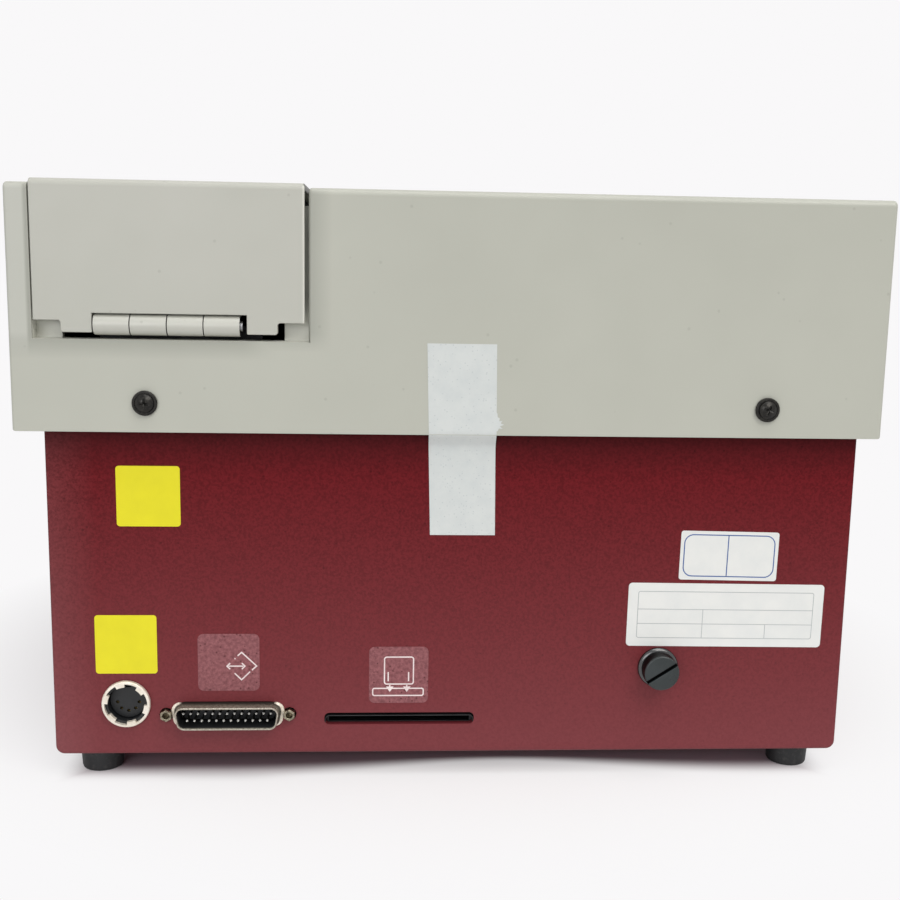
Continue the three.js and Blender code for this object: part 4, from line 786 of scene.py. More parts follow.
def run_rule(tree, geometry, sizes, name, material, body, replaces=()):
    """Ends a rule, runs it once and keeps its mesh as a piece."""
    real = out_of(tree, "GeometryNodeRealizeInstances", {"Geometry": geometry})
    painted = out_of(tree, "GeometryNodeSetMaterial", {"Geometry": real, "Material": material})
    node(tree, "NodeGroupOutput", {"Geometry": painted})
    carrier = add_to_scene("carrier", bpy.data.meshes.new("carrier"))
    rule = carrier.modifiers.new("rule", "NODES")
    rule.node_group = tree
    for item in tree.interface.items_tree:
        if item.in_out == "INPUT":
            rule[item.identifier] = sizes[item.name]
    mesh = bpy.data.meshes.new_from_object(carrier.evaluated_get(bpy.context.evaluated_depsgraph_get()))
    bpy.data.objects.remove(carrier)
    mesh.name = name
    print(name, len(mesh.polygons), "faces from the rule", tree.name)
    return piece(name, mesh, material, body, replaces)


def vector(tree, x=0.0, y=0.0, z=0.0):
    """A vector whose parts are values or sockets."""
    return out_of(tree, "ShaderNodeCombineXYZ", {"X": x, "Y": y, "Z": z})


def joined(tree, *shapes):
    """Several shapes as one."""
    both = tree.nodes.new("GeometryNodeJoinGeometry")
    for shape in shapes:
        tree.links.new(shape, both.inputs[0])
    return both.outputs[0]


def placed(tree, shape, at, turn=(0, 0, 0)):
    """A shape turned and then moved."""
    return out_of(tree, "GeometryNodeTransform", {"Geometry": shape, "Translation": at, "Rotation": turn})


def on_points(tree, points, shape, turns=(0, 0, 0)):
    """A shape on each point, with a turn of its own."""
    return out_of(tree, "GeometryNodeInstanceOnPoints", {"Points": points, "Instance": shape, "Rotation": turns})


def ring_curve(tree, steps, radius):
    return out_of(tree, "GeometryNodeCurvePrimitiveCircle", {"Resolution": steps, "Radius": radius})


def box_curve(tree, width, height):
    return out_of(tree, "GeometryNodeCurvePrimitiveQuadrilateral", {"Width": width, "Height": height})


def drawn_along(tree, path, outline, **more):
    """An outline drawn along a path; names of more inputs use _ for a space."""
    inputs = {key.replace("_", " "): value for key, value in more.items()}
    return out_of(tree, "GeometryNodeCurveToMesh", {"Curve": path, "Profile Curve": outline, **inputs})


def less_one(tree, count):
    return maths(tree, "SUBTRACT", count, 1.0)


print("rule helpers ready")

# %% [markdown]
# What isn't repeated is built of rings: a ring is an outline at one place along Y, and faces join each ring to
# the next. All of these sizes are in millimetres, and a middle is its (X, Z) on the rear.

# %% Helpers for shapes
CORNER_STEPS = 6


def middle_of(node_name):
    """The middle of a CAD node, seen from the rear."""
    low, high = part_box(node_name)
    return [(low[axis] + high[axis]) / 2 / MM for axis in (0, 2)]


def ring_of(bm, outline, y, middle=(0.0, 0.0)):
    """The corners of an outline at a place along Y."""
    x, z = middle
    return [bm.verts.new((MM * (x + u), MM * y, MM * (z + v))) for u, v in outline]


def skin(bm, rings, closed=False):
    """Joins rings by faces. The ends are capped, or joined to each other; a ring of one corner is a tip."""
    for first, second in zip(rings, rings[1:] + rings[: int(closed)]):
        steps = max(len(first), len(second))
        for i in range(steps):
            j = (i + 1) % steps
            corners = [ring[k % len(ring)] for ring, k in ((first, i), (first, j), (second, j), (second, i))]
            bm.faces.new(list(dict.fromkeys(corners)))
    if not closed:
        for ring in (rings[0], rings[-1]):
            if len(ring) > 2:
                bm.faces.new(ring)
    bmesh.ops.recalc_face_normals(bm, faces=bm.faces)


def circle(radius, steps, turn=0.0):
    """Corners of a circle; without a radius it is one point."""
    angles = [math.tau * i / steps + turn for i in range(steps if radius else 1)]
    return [(radius * math.cos(a), radius * math.sin(a)) for a in angles]


def rectangle(width, height):
    x, z = width / 2, height / 2
    return [(-x, -z), (x, -z), (x, z), (-x, z)]


def outline_of(corners, radius):
    """Rounds the corners of a flat outline, given counter-clockwise."""
    points = []
    for i, corner in enumerate(corners):
        here = Vector(corner)
        to_last = (Vector(corners[i - 1]) - here).normalized()
        to_next = (Vector(corners[(i + 1) % len(corners)]) - here).normalized()
        half = to_last.angle(to_next) / 2
        middle = here + (to_last + to_next).normalized() * (radius / math.sin(half))
        first = here + to_last * (radius / math.tan(half)) - middle
        last = here + to_next * (radius / math.tan(half)) - middle
        for step in range(CORNER_STEPS + 1):
            points.append(tuple(middle + first.lerp(last, step / CORNER_STEPS).normalized() * radius))
    return points


def slab(bm, outline, low, high, middle=(0.0, 0.0), turn=0.0):
    """A flat outline, standing in the rear plane, given a depth along Y."""
    cos, sin = math.cos(turn), math.sin(turn)
    turned = [(u * cos - v * sin, u * sin + v * cos) for u, v in outline]
    skin(bm, [ring_of(bm, turned, y, middle) for y in (low, high)])


def lofted(bm, sections, middle):
    """Joins outlines at their places along Y into one closed ring; a section is (y, outline)."""
    skin(bm, [ring_of(bm, outline, y, middle) for y, outline in sections], closed=True)


def spun(bm, profile, middle, steps=48):
    """A turned solid: the profile is (radius, y), from axis to axis or as a ring."""
    rings = [ring_of(bm, circle(radius, steps), y, middle) for radius, y in profile]
    skin(bm, rings, closed=profile[0][0] != 0)


def shape_of(build, *sizes):
    """A new bmesh with one shape in it."""
    bm = bmesh.new()
    build(bm, *sizes)
    return bm


print("shape helpers ready")

# %% [markdown]
# The 25-way socket has machined pins in two rows, thirteen over twelve, half a pitch apart. One pin is a line
# given thickness, thinner and thinner over its last eighth, which rounds its tip; the two rows repeat it. The tips
# are bright tin, and the shafts behind them are painted dark: painted shade inside the shell.

# %% Pins of the serial socket
SERIAL = middle_of("serial_port_shell")
PIN_SIZES = {
    "Pins in the long row": 13,
    "Pitch": 2.77 * MM,
    "Row pitch": 2.84 * MM,
    "Pin radius": 0.5 * MM,
    "Pin length": 8.1 * MM,
    "Root": 169.9 * MM,
    "Middle X": SERIAL[0] * MM,
    "Middle Z": SERIAL[1] * MM,
}
PIN_STEPS, PIN_SIDES = 25, 10
TIP_SHARE, TIP_LEAST = 0.12, 0.02
TIP_PLACE = (0.1769, 0.1773)


def pin_metal():
    """Tinned pins with bright tips; the shafts behind them are painted dark, as painted shade."""
    material, tree, place = new_material("tinned pins, dark behind the tips", "tinned_steel")
    tip = ramp(tree, axes_of(tree, place)["Y"], *TIP_PLACE)
    metallic = ramp(tree, tip, 0.0, 1.0, 0.0, 0.3)
    gloss = uneven(tree, grain(tree, place, 1.0, 2), 0.3, 0.0, 0.12)
    shade(tree, Base_Color=mix(tree, tip, "15140F", "F4F3EE"), Metallic=metallic, Roughness=gloss)
    return material


def one_pin(tree, given):
    """A line, given a thickness that runs out at its tip."""
    line = out_of(tree, "GeometryNodeCurvePrimitiveLine", {"End": vector(tree, y=given["Pin length"])})
    fine = out_of(tree, "GeometryNodeResampleCurve", {"Curve": line, "Count": PIN_STEPS})
    left = maths(tree, "SUBTRACT", 1.0, out_of(tree, "GeometryNodeSplineParameter"))
    share = maths(tree, "MINIMUM", maths(tree, "DIVIDE", left, TIP_SHARE), 1.0)
    width = maths(tree, "SQRT", maths(tree, "MAXIMUM", share, TIP_LEAST))
    thick = out_of(tree, "GeometryNodeSetCurveRadius", {"Curve": fine, "Radius": width})
    ring = ring_curve(tree, PIN_SIDES, given["Pin radius"])
    return drawn_along(tree, thick, ring, Scale=width, Fill_Caps=True)


def pin_row(tree, given, count, half):
    """A row of points, above the middle or under it."""
    back = maths(tree, "MULTIPLY", less_one(tree, count), -0.5)
    start_x = maths(tree, "MULTIPLY_ADD", back, given["Pitch"], given["Middle X"])
    start_z = maths(tree, "MULTIPLY_ADD", given["Row pitch"], half, given["Middle Z"])
    start = vector(tree, start_x, given["Root"], start_z)
    inputs = {"Count": count, "Start Location": start, "Offset": vector(tree, given["Pitch"])}
    return out_of(tree, "GeometryNodeMeshLine", inputs, mode="OFFSET")


pins, given = new_rule("two rows of pins", PIN_SIZES)
in_long_row = given["Pins in the long row"]
rows = joined(pins, pin_row(pins, given, in_long_row, 0.5), pin_row(pins, given, less_one(pins, in_long_row), -0.5))
run_rule(pins, on_points(pins, rows, one_pin(pins, given)), PIN_SIZES, "serial_pins", pin_metal(), "base")

# %% [markdown]
# The pins stand in a moulded block that fills the D of the shell. The outline of the D is drawn once, with its
# two lower corners pulled in, and given a depth.

# %% Block of the serial socket
D_HALF, D_TALL, D_RADIUS = 19.48, 4.18, 2.6
D_DRAW = math.radians(10)
BLOCK_INSET, BLOCK_BACK, BLOCK_FACE = 0.8, 160.4, 170.7


def d_outline(grow, wider=0.0):
    """The D of the socket, wide side up, grown all round."""
    half, tall = D_HALF + grow + wider, D_TALL + grow
    draw_in = 2 * tall * math.tan(D_DRAW)
    corners = [(-half + draw_in, -tall), (half - draw_in, -tall), (half, tall), (-half, tall)]
    return outline_of(corners, D_RADIUS + grow)


block = shape_of(slab, d_outline(-BLOCK_INSET), BLOCK_BACK, BLOCK_FACE, SERIAL)
soften(block, 0.2)
piece("serial_block", block, black_nylon, "base", ["serial_port_contacts"])
print("serial block made")

# %% [markdown]
# The shell round the pins is deep-drawn tinned steel. Drawing leaves a foot that is widest at both ends, and the
# rim is rolled. The ends of the foot and the rim are painted bright, as painted highlights, the brightest things
# on the socket; the shell is painted darker towards the panel and has a dark sheet inside, as painted shade. It
# is a row of D outlines, each a little larger or smaller, joined from the flange to the rim and back inside.

# %% Shell of the serial socket
SHELL_WIDER = 0.35
SHELL_SECTIONS = [
    (169.7, -0.5, 0), (169.7, 3.0, 0), (170.7, 3.0, 0), (170.7, 0.0, 0), (173.9, 0.0, 0), (174.05, 0.3, 1.0),
    (174.1, 0.7, 1.7), (174.5, 0.65, 1.65), (174.9, 0.4, 1.0), (175.5, 0.3, 0.3), (176.4, 0.25, 0), (178.8, 0.2, 0),
    (179.2, 0.3, 0), (179.4, 0.15, 0), (179.4, -0.25, 0), (179.15, -0.42, 0), (178.6, -0.5, 0),
]
SHADE_SHEET_SECTIONS = [(170.8, -0.52, 0), (178.7, -0.52, 0), (178.7, -0.62, 0), (170.8, -0.62, 0)]
ROOT_PAINTED_SHADE = (0.1768, 0.1748)
FOOT_PLACE, FOOT_ENDS = (0.1752, 0.1749), (0.0175, 0.0187)
RIM_PLACE = (0.1791, 0.1793)


def drawn_tin():
    """Dull tinned steel, with painted highlights on the ends of its foot and on its rim, and painted shade at its
    root.
    """
    material, tree, place = new_material("drawn tinned steel", "tinned_steel")
    spot = axes_of(tree, place)
    stain = ramp(tree, grain(tree, place, 0.8, 4, 0.6), 0.4, NOISE_HIGH)
    dull = mix(tree, stain, "8F8B7E", "4A463C")
    # Painted shade: darker towards the panel.
    dull = mix(tree, ramp(tree, spot["Y"], *ROOT_PAINTED_SHADE), dull, "25221C")
    aside = maths(tree, "ABSOLUTE", maths(tree, "SUBTRACT", spot["X"], SERIAL[0] * MM))
    # Painted highlights: the two ends of the foot and the rim are painted bright.
    foot = times(tree, ramp(tree, spot["Y"], *FOOT_PLACE), ramp(tree, aside, *FOOT_ENDS))
    rim = ramp(tree, spot["Y"], *RIM_PLACE, 0.0, 0.35)
    colour = mix(tree, maths(tree, "MAXIMUM", foot, rim), dull, mix(tree, stain, "F2E9DA", "CFC4B2"))
    metallic = ramp(tree, foot, 0.0, 1.0, 0.35, 0.2)
    gloss = uneven(tree, grain(tree, place, 0.4, 3), 0.3, 0.0, 0.16)
    shade(tree, Base_Color=colour, Metallic=metallic, Roughness=gloss)
    return material


def d_shell(sections):
    """A closed ring of D outlines; a section is its place along Y, how much it has grown and how much wider it is."""
    return shape_of(lofted, [(y, d_outline(grow, wider + SHELL_WIDER)) for y, grow, wider in sections], SERIAL)


piece("serial_shell", d_shell(SHELL_SECTIONS), drawn_tin(), "base", ["serial_port_shell"])
# A black sheet inside the shell: painted shade over its metal walls.
piece("serial_shell_shade_sheet", d_shell(SHADE_SHEET_SECTIONS), black_liner, "base")
print("serial shell made")

# %% [markdown]
# The round power socket has a cast ring with six teeth that lock the plug, over a black barrel. The ring is
# drawn as an inner outline that steps between teeth and notches and an outer one with a rounded edge.

# %% Power socket
POWER = (124.4, 30.2)
TEETH, ARC_STEPS = 6, 6
RING_OUTER, TOOTH_RADIUS, NOTCH_RADIUS = 9.2, 6.95, 8.15
FIRST_NOTCH_DEGREES, NOTCH_DEGREES = 105, 35
RING_BACK, RING_FACE = 174.3, 175.9
RING_RIMS = [
    (RING_OUTER, RING_BACK), (RING_OUTER, RING_FACE - 0.55), (RING_OUTER - 0.15, RING_FACE - 0.2),
    (RING_OUTER - 0.5, RING_FACE), (None, RING_FACE), (None, RING_BACK),
]
BARREL = [(7.15, 157.0), (8.4, 157.0), (8.4, 174.25), (7.15, 174.25)]


def toothed_ring(bm):
    """The locking ring; where a rim has no radius, it follows the teeth and notches."""
    half = math.radians(NOTCH_DEGREES / 2)
    rest = math.tau / TEETH - 2 * half
    spots = []
    for tooth in range(TEETH):
        middle = math.radians(FIRST_NOTCH_DEGREES + 360 / TEETH * tooth)
        for start, sweep, radius in ((middle - half, 2 * half, NOTCH_RADIUS), (middle + half, rest, TOOTH_RADIUS)):
            spots += [(start + sweep * step / ARC_STEPS, radius) for step in range(ARC_STEPS + 1)]
    rings = []
    for rim, y in RING_RIMS:
        outline = [((rim or radius) * math.cos(a), (rim or radius) * math.sin(a)) for a, radius in spots]
        rings.append(ring_of(bm, outline, y, POWER))
    skin(bm, rings, closed=True)
    bmesh.ops.remove_doubles(bm, verts=bm.verts, dist=MERGE / 4)
    bmesh.ops.recalc_face_normals(bm, faces=bm.faces)


piece("power_socket_ring", shape_of(toothed_ring), nickel_cream, "base", ["power_socket_shell"])
piece("power_socket_barrel", shape_of(spun, BARREL, POWER, 64), black_nylon, "base")
print("power socket made")

# %% [markdown]
# The cover screws are blackened oval-head screws with a cross recess, sitting in cup washers. The recess is the
# detail that tells, so the head is a fine disc whose height is the dome less the cross: steep at the sides of its
# four wings, sloping to nothing at their ends.

# %% Cover screws
HEAD_RADIUS, HEAD_TOP, DOME = 3.3, 180.85, 1.35
HEAD_STEPS = 96
HEAD_RADII = [0, *[0.09 * i for i in range(1, 24)], 2.3, 2.6, 2.9, 3.1, 3.25, HEAD_RADIUS]
WING_HALF, WING_REACH, RECESS_DEPTH = 0.4, 1.9, 1.5
SHANK_RADIUS, HEAD_FOOT = 1.9, 178.75
SHANK = [(HEAD_RADIUS, HEAD_FOOT), (SHANK_RADIUS, HEAD_FOOT), (SHANK_RADIUS, 167.4), (1.4, 166.9), (0, 166.9)]


def recess_at(u, v):
    """Depth of the cross recess at a place on the head."""
    reach = math.hypot(u, v) / WING_REACH
    inside = min(abs(u), abs(v)) < WING_HALF * (1.15 - 0.3 * reach)
    return RECESS_DEPTH * (1 - reach) + 0.1 if inside and reach < 1 else 0.0


def cross_head(bm, middle, turn_degrees):
    """A domed head with its shank; the cross is turned about the axis."""
    turn = math.radians(turn_degrees)
    rings = []
    for radius in HEAD_RADII:
        ring = ring_of(bm, circle(radius, HEAD_STEPS, turn), HEAD_TOP, middle)
        for corner, (u, v) in zip(ring, circle(radius, HEAD_STEPS)):
            corner.co.y = MM * (HEAD_TOP - DOME * (radius / HEAD_RADIUS) ** 2 - recess_at(u, v))
        rings.append(ring)
    skin(bm, rings + [ring_of(bm, circle(radius, HEAD_STEPS, turn), y, middle) for radius, y in SHANK])


for side, turn in (("left", 24), ("right", 6)):
    screw = f"cover_screw_{side}"
    piece(f"cross_head_screw_{side}", shape_of(cross_head, middle_of(screw), turn), black_oxide, "base", [screw])
print("cover screws made")

# %% [markdown]
# The round power socket takes five pins on an arc. Each hole is lined with a turned and slit contact, seen as a
# small plated ring under the face.

# %% Contacts of the power socket
INSERT = middle_of("power_socket_insert")
CONTACT_SIZES = {
    "Contacts": 5,
    "Circle": 4.2 * MM,
    "First angle": math.radians(-170),
    "Arc": math.radians(160),
    "Ring radius": 0.53 * MM,
    "Ring wall": 0.17 * MM,
    "Ring length": 3.2 * MM,
    "Under the face": 1.3 * MM,
    "Face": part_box("power_socket_insert")[1].y,
    "Middle X": INSERT[0] * MM,
    "Middle Z": INSERT[1] * MM,
}
contacts, given = new_rule("contacts on an arc", CONTACT_SIZES)
arc = out_of(contacts, "GeometryNodeCurveArc", {
    "Resolution": given["Contacts"], "Radius": given["Circle"],
    "Start Angle": given["First angle"], "Sweep Angle": given["Arc"],
}, mode="RADIUS")
wall = box_curve(contacts, given["Ring wall"], given["Ring length"])
sleeve = drawn_along(contacts, ring_curve(contacts, 16, given["Ring radius"]), wall)
depth = maths(contacts, "MULTIPLY_ADD", given["Ring length"], 0.5, given["Under the face"])
arc_place = vector(contacts, given["Middle X"], maths(contacts, "SUBTRACT", given["Face"], depth), given["Middle Z"])
upright = placed(contacts, on_points(contacts, arc, sleeve), arc_place, (math.pi / 2, 0, 0))
run_rule(contacts, upright, CONTACT_SIZES, "power_contacts", gold_flash, "base")

# %% [markdown]
# The card slot has a thin black lining, which hides the cut edge of the sheet.

# %% Lining of the card slot
SLOT_WIDTH, SLOT_HEIGHT, SLOT_CORNER = 58.0, 4.6, 1.85
SLOT_SECTIONS = [(171.2, 0.0), (173.85, 0.0), (173.95, 0.1), (173.85, 0.3), (171.2, 0.3)]


def slot_outline(thinner):
    return outline_of(rectangle(SLOT_WIDTH - 2 * thinner, SLOT_HEIGHT - 2 * thinner), SLOT_CORNER - thinner)


lining = shape_of(lofted, [(y, slot_outline(thinner)) for y, thinner in SLOT_SECTIONS], middle_of("card_reader"))
piece("card_slot_lining", lining, black_liner, "base")
print("card slot lined")

# %% [markdown]
# The tray's lead screw has a rolled thread of four starts: it climbs ten millimetres in a turn, so one helix
# would look too coarse. A spiral with a round profile, repeated four times about the axis, gives the rolled
# look. Its ends stay plain where the bearing and the coupler hold them.

# %% Lead screw
SCREW = middle_of("lead_screw")
screw_low, screw_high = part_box("lead_screw")
SCREW_SIZES = {
    "Starts": 4,
    "Lead": 10.0 * MM,
    "Thread length": 170.0 * MM,
    "Middle radius": 3.05 * MM,
    "Ridge radius": 0.42 * MM,
    "Core radius": 3.0 * MM,
    "Journal radius": 3.45 * MM,
    "Whole length": screw_high.y - screw_low.y,
    "First thread": 14.0 * MM,
    "Front": screw_low.y,
    "Axis X": SCREW[0] * MM,
    "Axis Z": SCREW[1] * MM,
}
thread, given = new_rule("rolled thread", SCREW_SIZES)
first_thread, thread_length, whole_length = (given[size] for size in ("First thread", "Thread length", "Whole length"))
helix = out_of(thread, "GeometryNodeCurveSpiral", {
    "Resolution": 22, "Rotations": maths(thread, "DIVIDE", thread_length, given["Lead"]),
    "Start Radius": given["Middle radius"], "End Radius": given["Middle radius"], "Height": thread_length,
})
one_start = drawn_along(thread, helix, ring_curve(thread, 6, given["Ridge radius"]), Fill_Caps=True)
starts = out_of(thread, "GeometryNodeMeshLine", {"Count": given["Starts"], "Offset": (0, 0, 0)}, mode="OFFSET")
turn = maths(thread, "DIVIDE", math.tau, given["Starts"])
each_turn = maths(thread, "MULTIPLY", out_of(thread, "GeometryNodeInputIndex"), turn)
all_starts = on_points(thread, starts, one_start, vector(thread, z=each_turn))
raised = placed(thread, all_starts, vector(thread, z=first_thread))


def rod(tree, radius, length, from_end):
    """A turned length of the screw, standing along Z."""
    solid = out_of(tree, "GeometryNodeMeshCylinder", {"Vertices": 32, "Radius": radius, "Depth": length})
    return placed(tree, solid, vector(tree, z=maths(tree, "MULTIPLY_ADD", length, 0.5, from_end)))


used = maths(thread, "ADD", first_thread, thread_length)
core = rod(thread, given["Core radius"], whole_length, 0.0)
front_journal = rod(thread, given["Journal radius"], first_thread, 0.0)
rear_journal = rod(thread, given["Journal radius"], maths(thread, "SUBTRACT", whole_length, used), used)
whole_screw = joined(thread, raised, core, front_journal, rear_journal)
screw_place = vector(thread, given["Axis X"], given["Front"], given["Axis Z"])
lying = placed(thread, whole_screw, screw_place, (-math.pi / 2, 0, 0))
run_rule(thread, lying, SCREW_SIZES, "rolled_lead_screw", turned_steel, "screw", ["lead_screw"])

# %% [markdown]
# The flange of the fuse holder is polished and domed, which draws two bright arcs beside the cap. The fuse is a
# glass tube of 5 by 20 mm with two pressed caps and a wire between them; it shows when the cap is drawn out. Each
# part is a profile spun round the axis.

# %% Fuse and its holder
HOLDER_RADIUS, HOLDER_BORE, HOLDER_END = 6.0, 4.9, 3.0
FLANGE_RADIUS, FLANGE_HEIGHT, FLANGE_RIM, FLANGE_DOME = 8.0, 1.6, 0.35, 1.7
DOME_TURNS = [math.radians(15 * i) for i in range(7)]
CAP_LENGTH = 5.2
CAP_PROFILE = [
    (0, 0), (2.2, 0), (2.5, 0.12), (2.6, 0.4), (2.6, CAP_LENGTH - 0.15), (2.5, CAP_LENGTH), (2.36, CAP_LENGTH),
    (2.36, 0.4), (0, 0.4),
]
FUSE = middle_of("fuse")
fuse_from, fuse_to = (corner.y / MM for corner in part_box("fuse"))
holder_from, holder_to = (corner.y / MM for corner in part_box("fuse_holder_body"))
flange_foot, bore_end = holder_to - FLANGE_HEIGHT, holder_from + HOLDER_END


def on_dome(turn):
    """A place on the dome of the flange, from its rim at 0 to its top at a right angle."""
    rise = FLANGE_RIM + (FLANGE_HEIGHT - FLANGE_RIM) * math.sin(turn)
    return FLANGE_RADIUS - FLANGE_DOME * (1 - math.cos(turn)), flange_foot + rise


HOLDER_PROFILE = [
    (0, holder_from), (HOLDER_RADIUS, holder_from), (HOLDER_RADIUS, flange_foot), (FLANGE_RADIUS, flange_foot),
    *[on_dome(turn) for turn in DOME_TURNS], (HOLDER_BORE, holder_to), (HOLDER_BORE, bore_end), (0, bore_end),
]


def tube_profile(inner, outer, inset):
    """The wall of a tube that ends short of both ends of the fuse."""
    start, end = fuse_from + inset, fuse_to - inset
    return [(inner, start), (outer, start), (outer, end), (inner, end)]


GLASS_PROFILE = tube_profile(1.75, 2.3, 0.6)
WIRE_PROFILE = tube_profile(0, 0.11, 0.5)
piece("fuse_holder_turned", shape_of(spun, HOLDER_PROFILE, FUSE), holder_plastic, "base", ["fuse_holder_body"])
piece("fuse_glass", shape_of(spun, GLASS_PROFILE, FUSE), fuse_glass, "fuse_carrier", ["fuse"])
caps = bmesh.new()
for end, way in ((fuse_from, 1), (fuse_to, -1)):
    spun(caps, [(radius, end + way * depth) for radius, depth in CAP_PROFILE], FUSE)
piece("fuse_end_caps", caps, tin_pin, "fuse_carrier")
piece("fuse_wire", shape_of(spun, WIRE_PROFILE, FUSE, 10), tin_pin, "fuse_carrier")
print("fuse made")

# %% [markdown]
# The front console slopes away from the camera: a liquid-crystal display behind a smoked window, and a membrane
# keypad of four by five embossed keys. Each key is a rounded outline, filled, drawn up and pulled in a little at
# its top, and a grid repeats it down the slope.

# %% Console
CONSOLE_ANGLE = math.atan2(47, 165)
CONSOLE_BREAK = Vector((0, -17 * MM, housing_high.z))
KEYPAD_X, KEYPAD_Y = 80.0, -76
DISPLAY_X, DISPLAY_Y = -63.5, -46
FILM_SIZE, FILM_CORNER, FILM_HALF = (96, 104), 5, 0.65
CRYSTAL_SIZE, CRYSTAL_CORNER, CRYSTAL_BACK, CRYSTAL_FACE = (117, 32), 1, -3.2, -2.6


def flat_plate(outline, low, high, x, y):
    """A plate lying on the slope; low and high are above its surface, and y is up the slope from its break."""
    bm = shape_of(slab, outline, low, high)
    lay = Matrix.Translation((MM * x, MM * y, 0)) @ Matrix.Rotation(math.pi / 2, 4, "X")
    bmesh.ops.transform(bm, matrix=lay, verts=bm.verts)
    bmesh.ops.recalc_face_normals(bm, faces=bm.faces)
    return bm


def tip_to_slope(bm):
    """Moves what was made lying flat on to the slope."""
    slope = Matrix.Translation(CONSOLE_BREAK) @ Matrix.Rotation(CONSOLE_ANGLE, 4, "X")
    bmesh.ops.transform(bm, matrix=slope, verts=bm.verts)
    return bm


dress("display_window", smoked_acrylic, 0.3)
film = outline_of(rectangle(*FILM_SIZE), FILM_CORNER)
film = flat_plate(film, -FILM_HALF, FILM_HALF, KEYPAD_X, KEYPAD_Y)
soften(film, 0.2)
piece("keypad_panel", tip_to_slope(film), keypad_film, "base", ["keypad"])
crystal = outline_of(rectangle(*CRYSTAL_SIZE), CRYSTAL_CORNER)
crystal = flat_plate(crystal, CRYSTAL_BACK, CRYSTAL_FACE, DISPLAY_X, DISPLAY_Y)
piece("crystal_display", tip_to_slope(crystal), crystal_panel, "base")
print("console plates made")

# %% Keys
KEY_SIZES = {
    "Columns": 3,
    "Rows": 5,
    "Column pitch": 24.0 * MM,
    "Row pitch": 20.8 * MM,
    "Key width": 16.0 * MM,
    "Key length": 13.0 * MM,
    "Corner": 2.0 * MM,
    "Height": 0.7 * MM,
    "Pulled in": 0.95,
    "Under": 0.6 * MM,
    "Middle X": (KEYPAD_X - 12) * MM,
    "Middle Y": KEYPAD_Y * MM,
}
FUNCTION_SIZES = {**KEY_SIZES, "Columns": 1, "Middle X": (KEYPAD_X + 36) * MM}


def key_rule(title, sizes, name, material):
    """A grid of embossed keys on the slope."""
    tree, given = new_rule(title, sizes)
    flat = box_curve(tree, given["Key width"], given["Key length"])
    fillet = {"Curve": flat, "Count": 5, "Radius": given["Corner"], "Limit Radius": True}
    rounded = out_of(tree, "GeometryNodeFilletCurve", fillet, mode="POLY")
    face = out_of(tree, "GeometryNodeFillCurve", {"Curve": rounded}, mode="NGONS")
    drawn = node(tree, "GeometryNodeExtrudeMesh", {"Mesh": face, "Offset Scale": given["Height"]}, mode="FACES")
    top = {"Geometry": drawn.outputs["Mesh"], "Selection": drawn.outputs["Top"], "Scale": given["Pulled in"]}
    pulled = out_of(tree, "GeometryNodeScaleElements", top)
    bottom = out_of(tree, "GeometryNodeFlipFaces", {"Mesh": face})
    key = out_of(tree, "GeometryNodeMergeByDistance", {"Geometry": joined(tree, pulled, bottom)})
    grid = out_of(tree, "GeometryNodeMeshGrid", {
        "Size X": times(tree, less_one(tree, given["Columns"]), given["Column pitch"]),
        "Size Y": times(tree, less_one(tree, given["Rows"]), given["Row pitch"]),
        "Vertices X": given["Columns"], "Vertices Y": given["Rows"],
    })
    at = vector(tree, given["Middle X"], given["Middle Y"], given["Under"])
    level = placed(tree, on_points(tree, grid, key), at)
    sloped = placed(tree, level, tuple(CONSOLE_BREAK), (CONSOLE_ANGLE, 0, 0))
    run_rule(tree, sloped, sizes, name, material, "base")


key_rule("number keys", KEY_SIZES, "number_keys", key_film)
key_rule("function keys", FUNCTION_SIZES, "function_keys", key_print)

# %% [markdown]
# The labels are thin film on the rear face. A plain rounded plate of a tenth of a millimetre stands for each;
# what is drawn on it is a second, thinner layer of mitred strokes, so that it keeps crisp edges.

# %% Helpers for labels
REAR_OF_BASE = 174.0
LABEL_MM, INK_MM = 0.12, 0.03
INK_TOP = REAR_OF_BASE + LABEL_MM + INK_MM
INK_FOOT = INK_TOP - INK_MM - LABEL_MM / 2
LINE = 0.5
LEAST_LEAN = 0.3


def middle_and_size(box):
    """The middle of a box of lowest and highest X, then Z, and its width and height."""
    x0, x1, z0, z1 = box
    return ((x0 + x1) / 2, (z0 + z1) / 2), (x1 - x0, z1 - z0)


def label(name, box, radius, material, turn_degrees=0.0):
    """A film label."""
    middle, size = middle_and_size(box)
    outline = outline_of(rectangle(*size), radius)
    film = shape_of(slab, outline, REAR_OF_BASE, REAR_OF_BASE + LABEL_MM, middle, math.radians(turn_degrees))
    piece(name, film, material, "base")


def stroke(bm, points, width=LINE, closed=False):
    """A line of ink with mitred corners; points are (X, Z)."""
    spots = [Vector(p) for p in points]
    rings = []
    for i, here in enumerate(spots):
        back = [(here - spots[i - 1]).normalized()] if closed or i else []
        ahead = [(spots[(i + 1) % len(spots)] - here).normalized()] if closed or i < len(spots) - 1 else []
        ways = back + ahead
        along = sum(ways, Vector((0, 0))).normalized()
        across = Vector((-along.y, along.x))
        lean = max(across.dot(Vector((-ways[0].y, ways[0].x))), LEAST_LEAN)
        first, second = (here + across * (s * width / 2 / lean) for s in (1, -1))
        corners = ((first, INK_FOOT), (first, INK_TOP), (second, INK_TOP), (second, INK_FOOT))
        rings.append([bm.verts.new((MM * spot.x, MM * y, MM * spot.y)) for spot, y in corners])
    skin(bm, rings, closed)


def around(points, middle, turn_degrees=0.0):
    """Turns flat points and moves them to a place."""
    turn = Matrix.Rotation(math.radians(turn_degrees), 2)
    return [tuple(turn @ Vector(p) + Vector(middle)) for p in points]


print("label helpers ready")

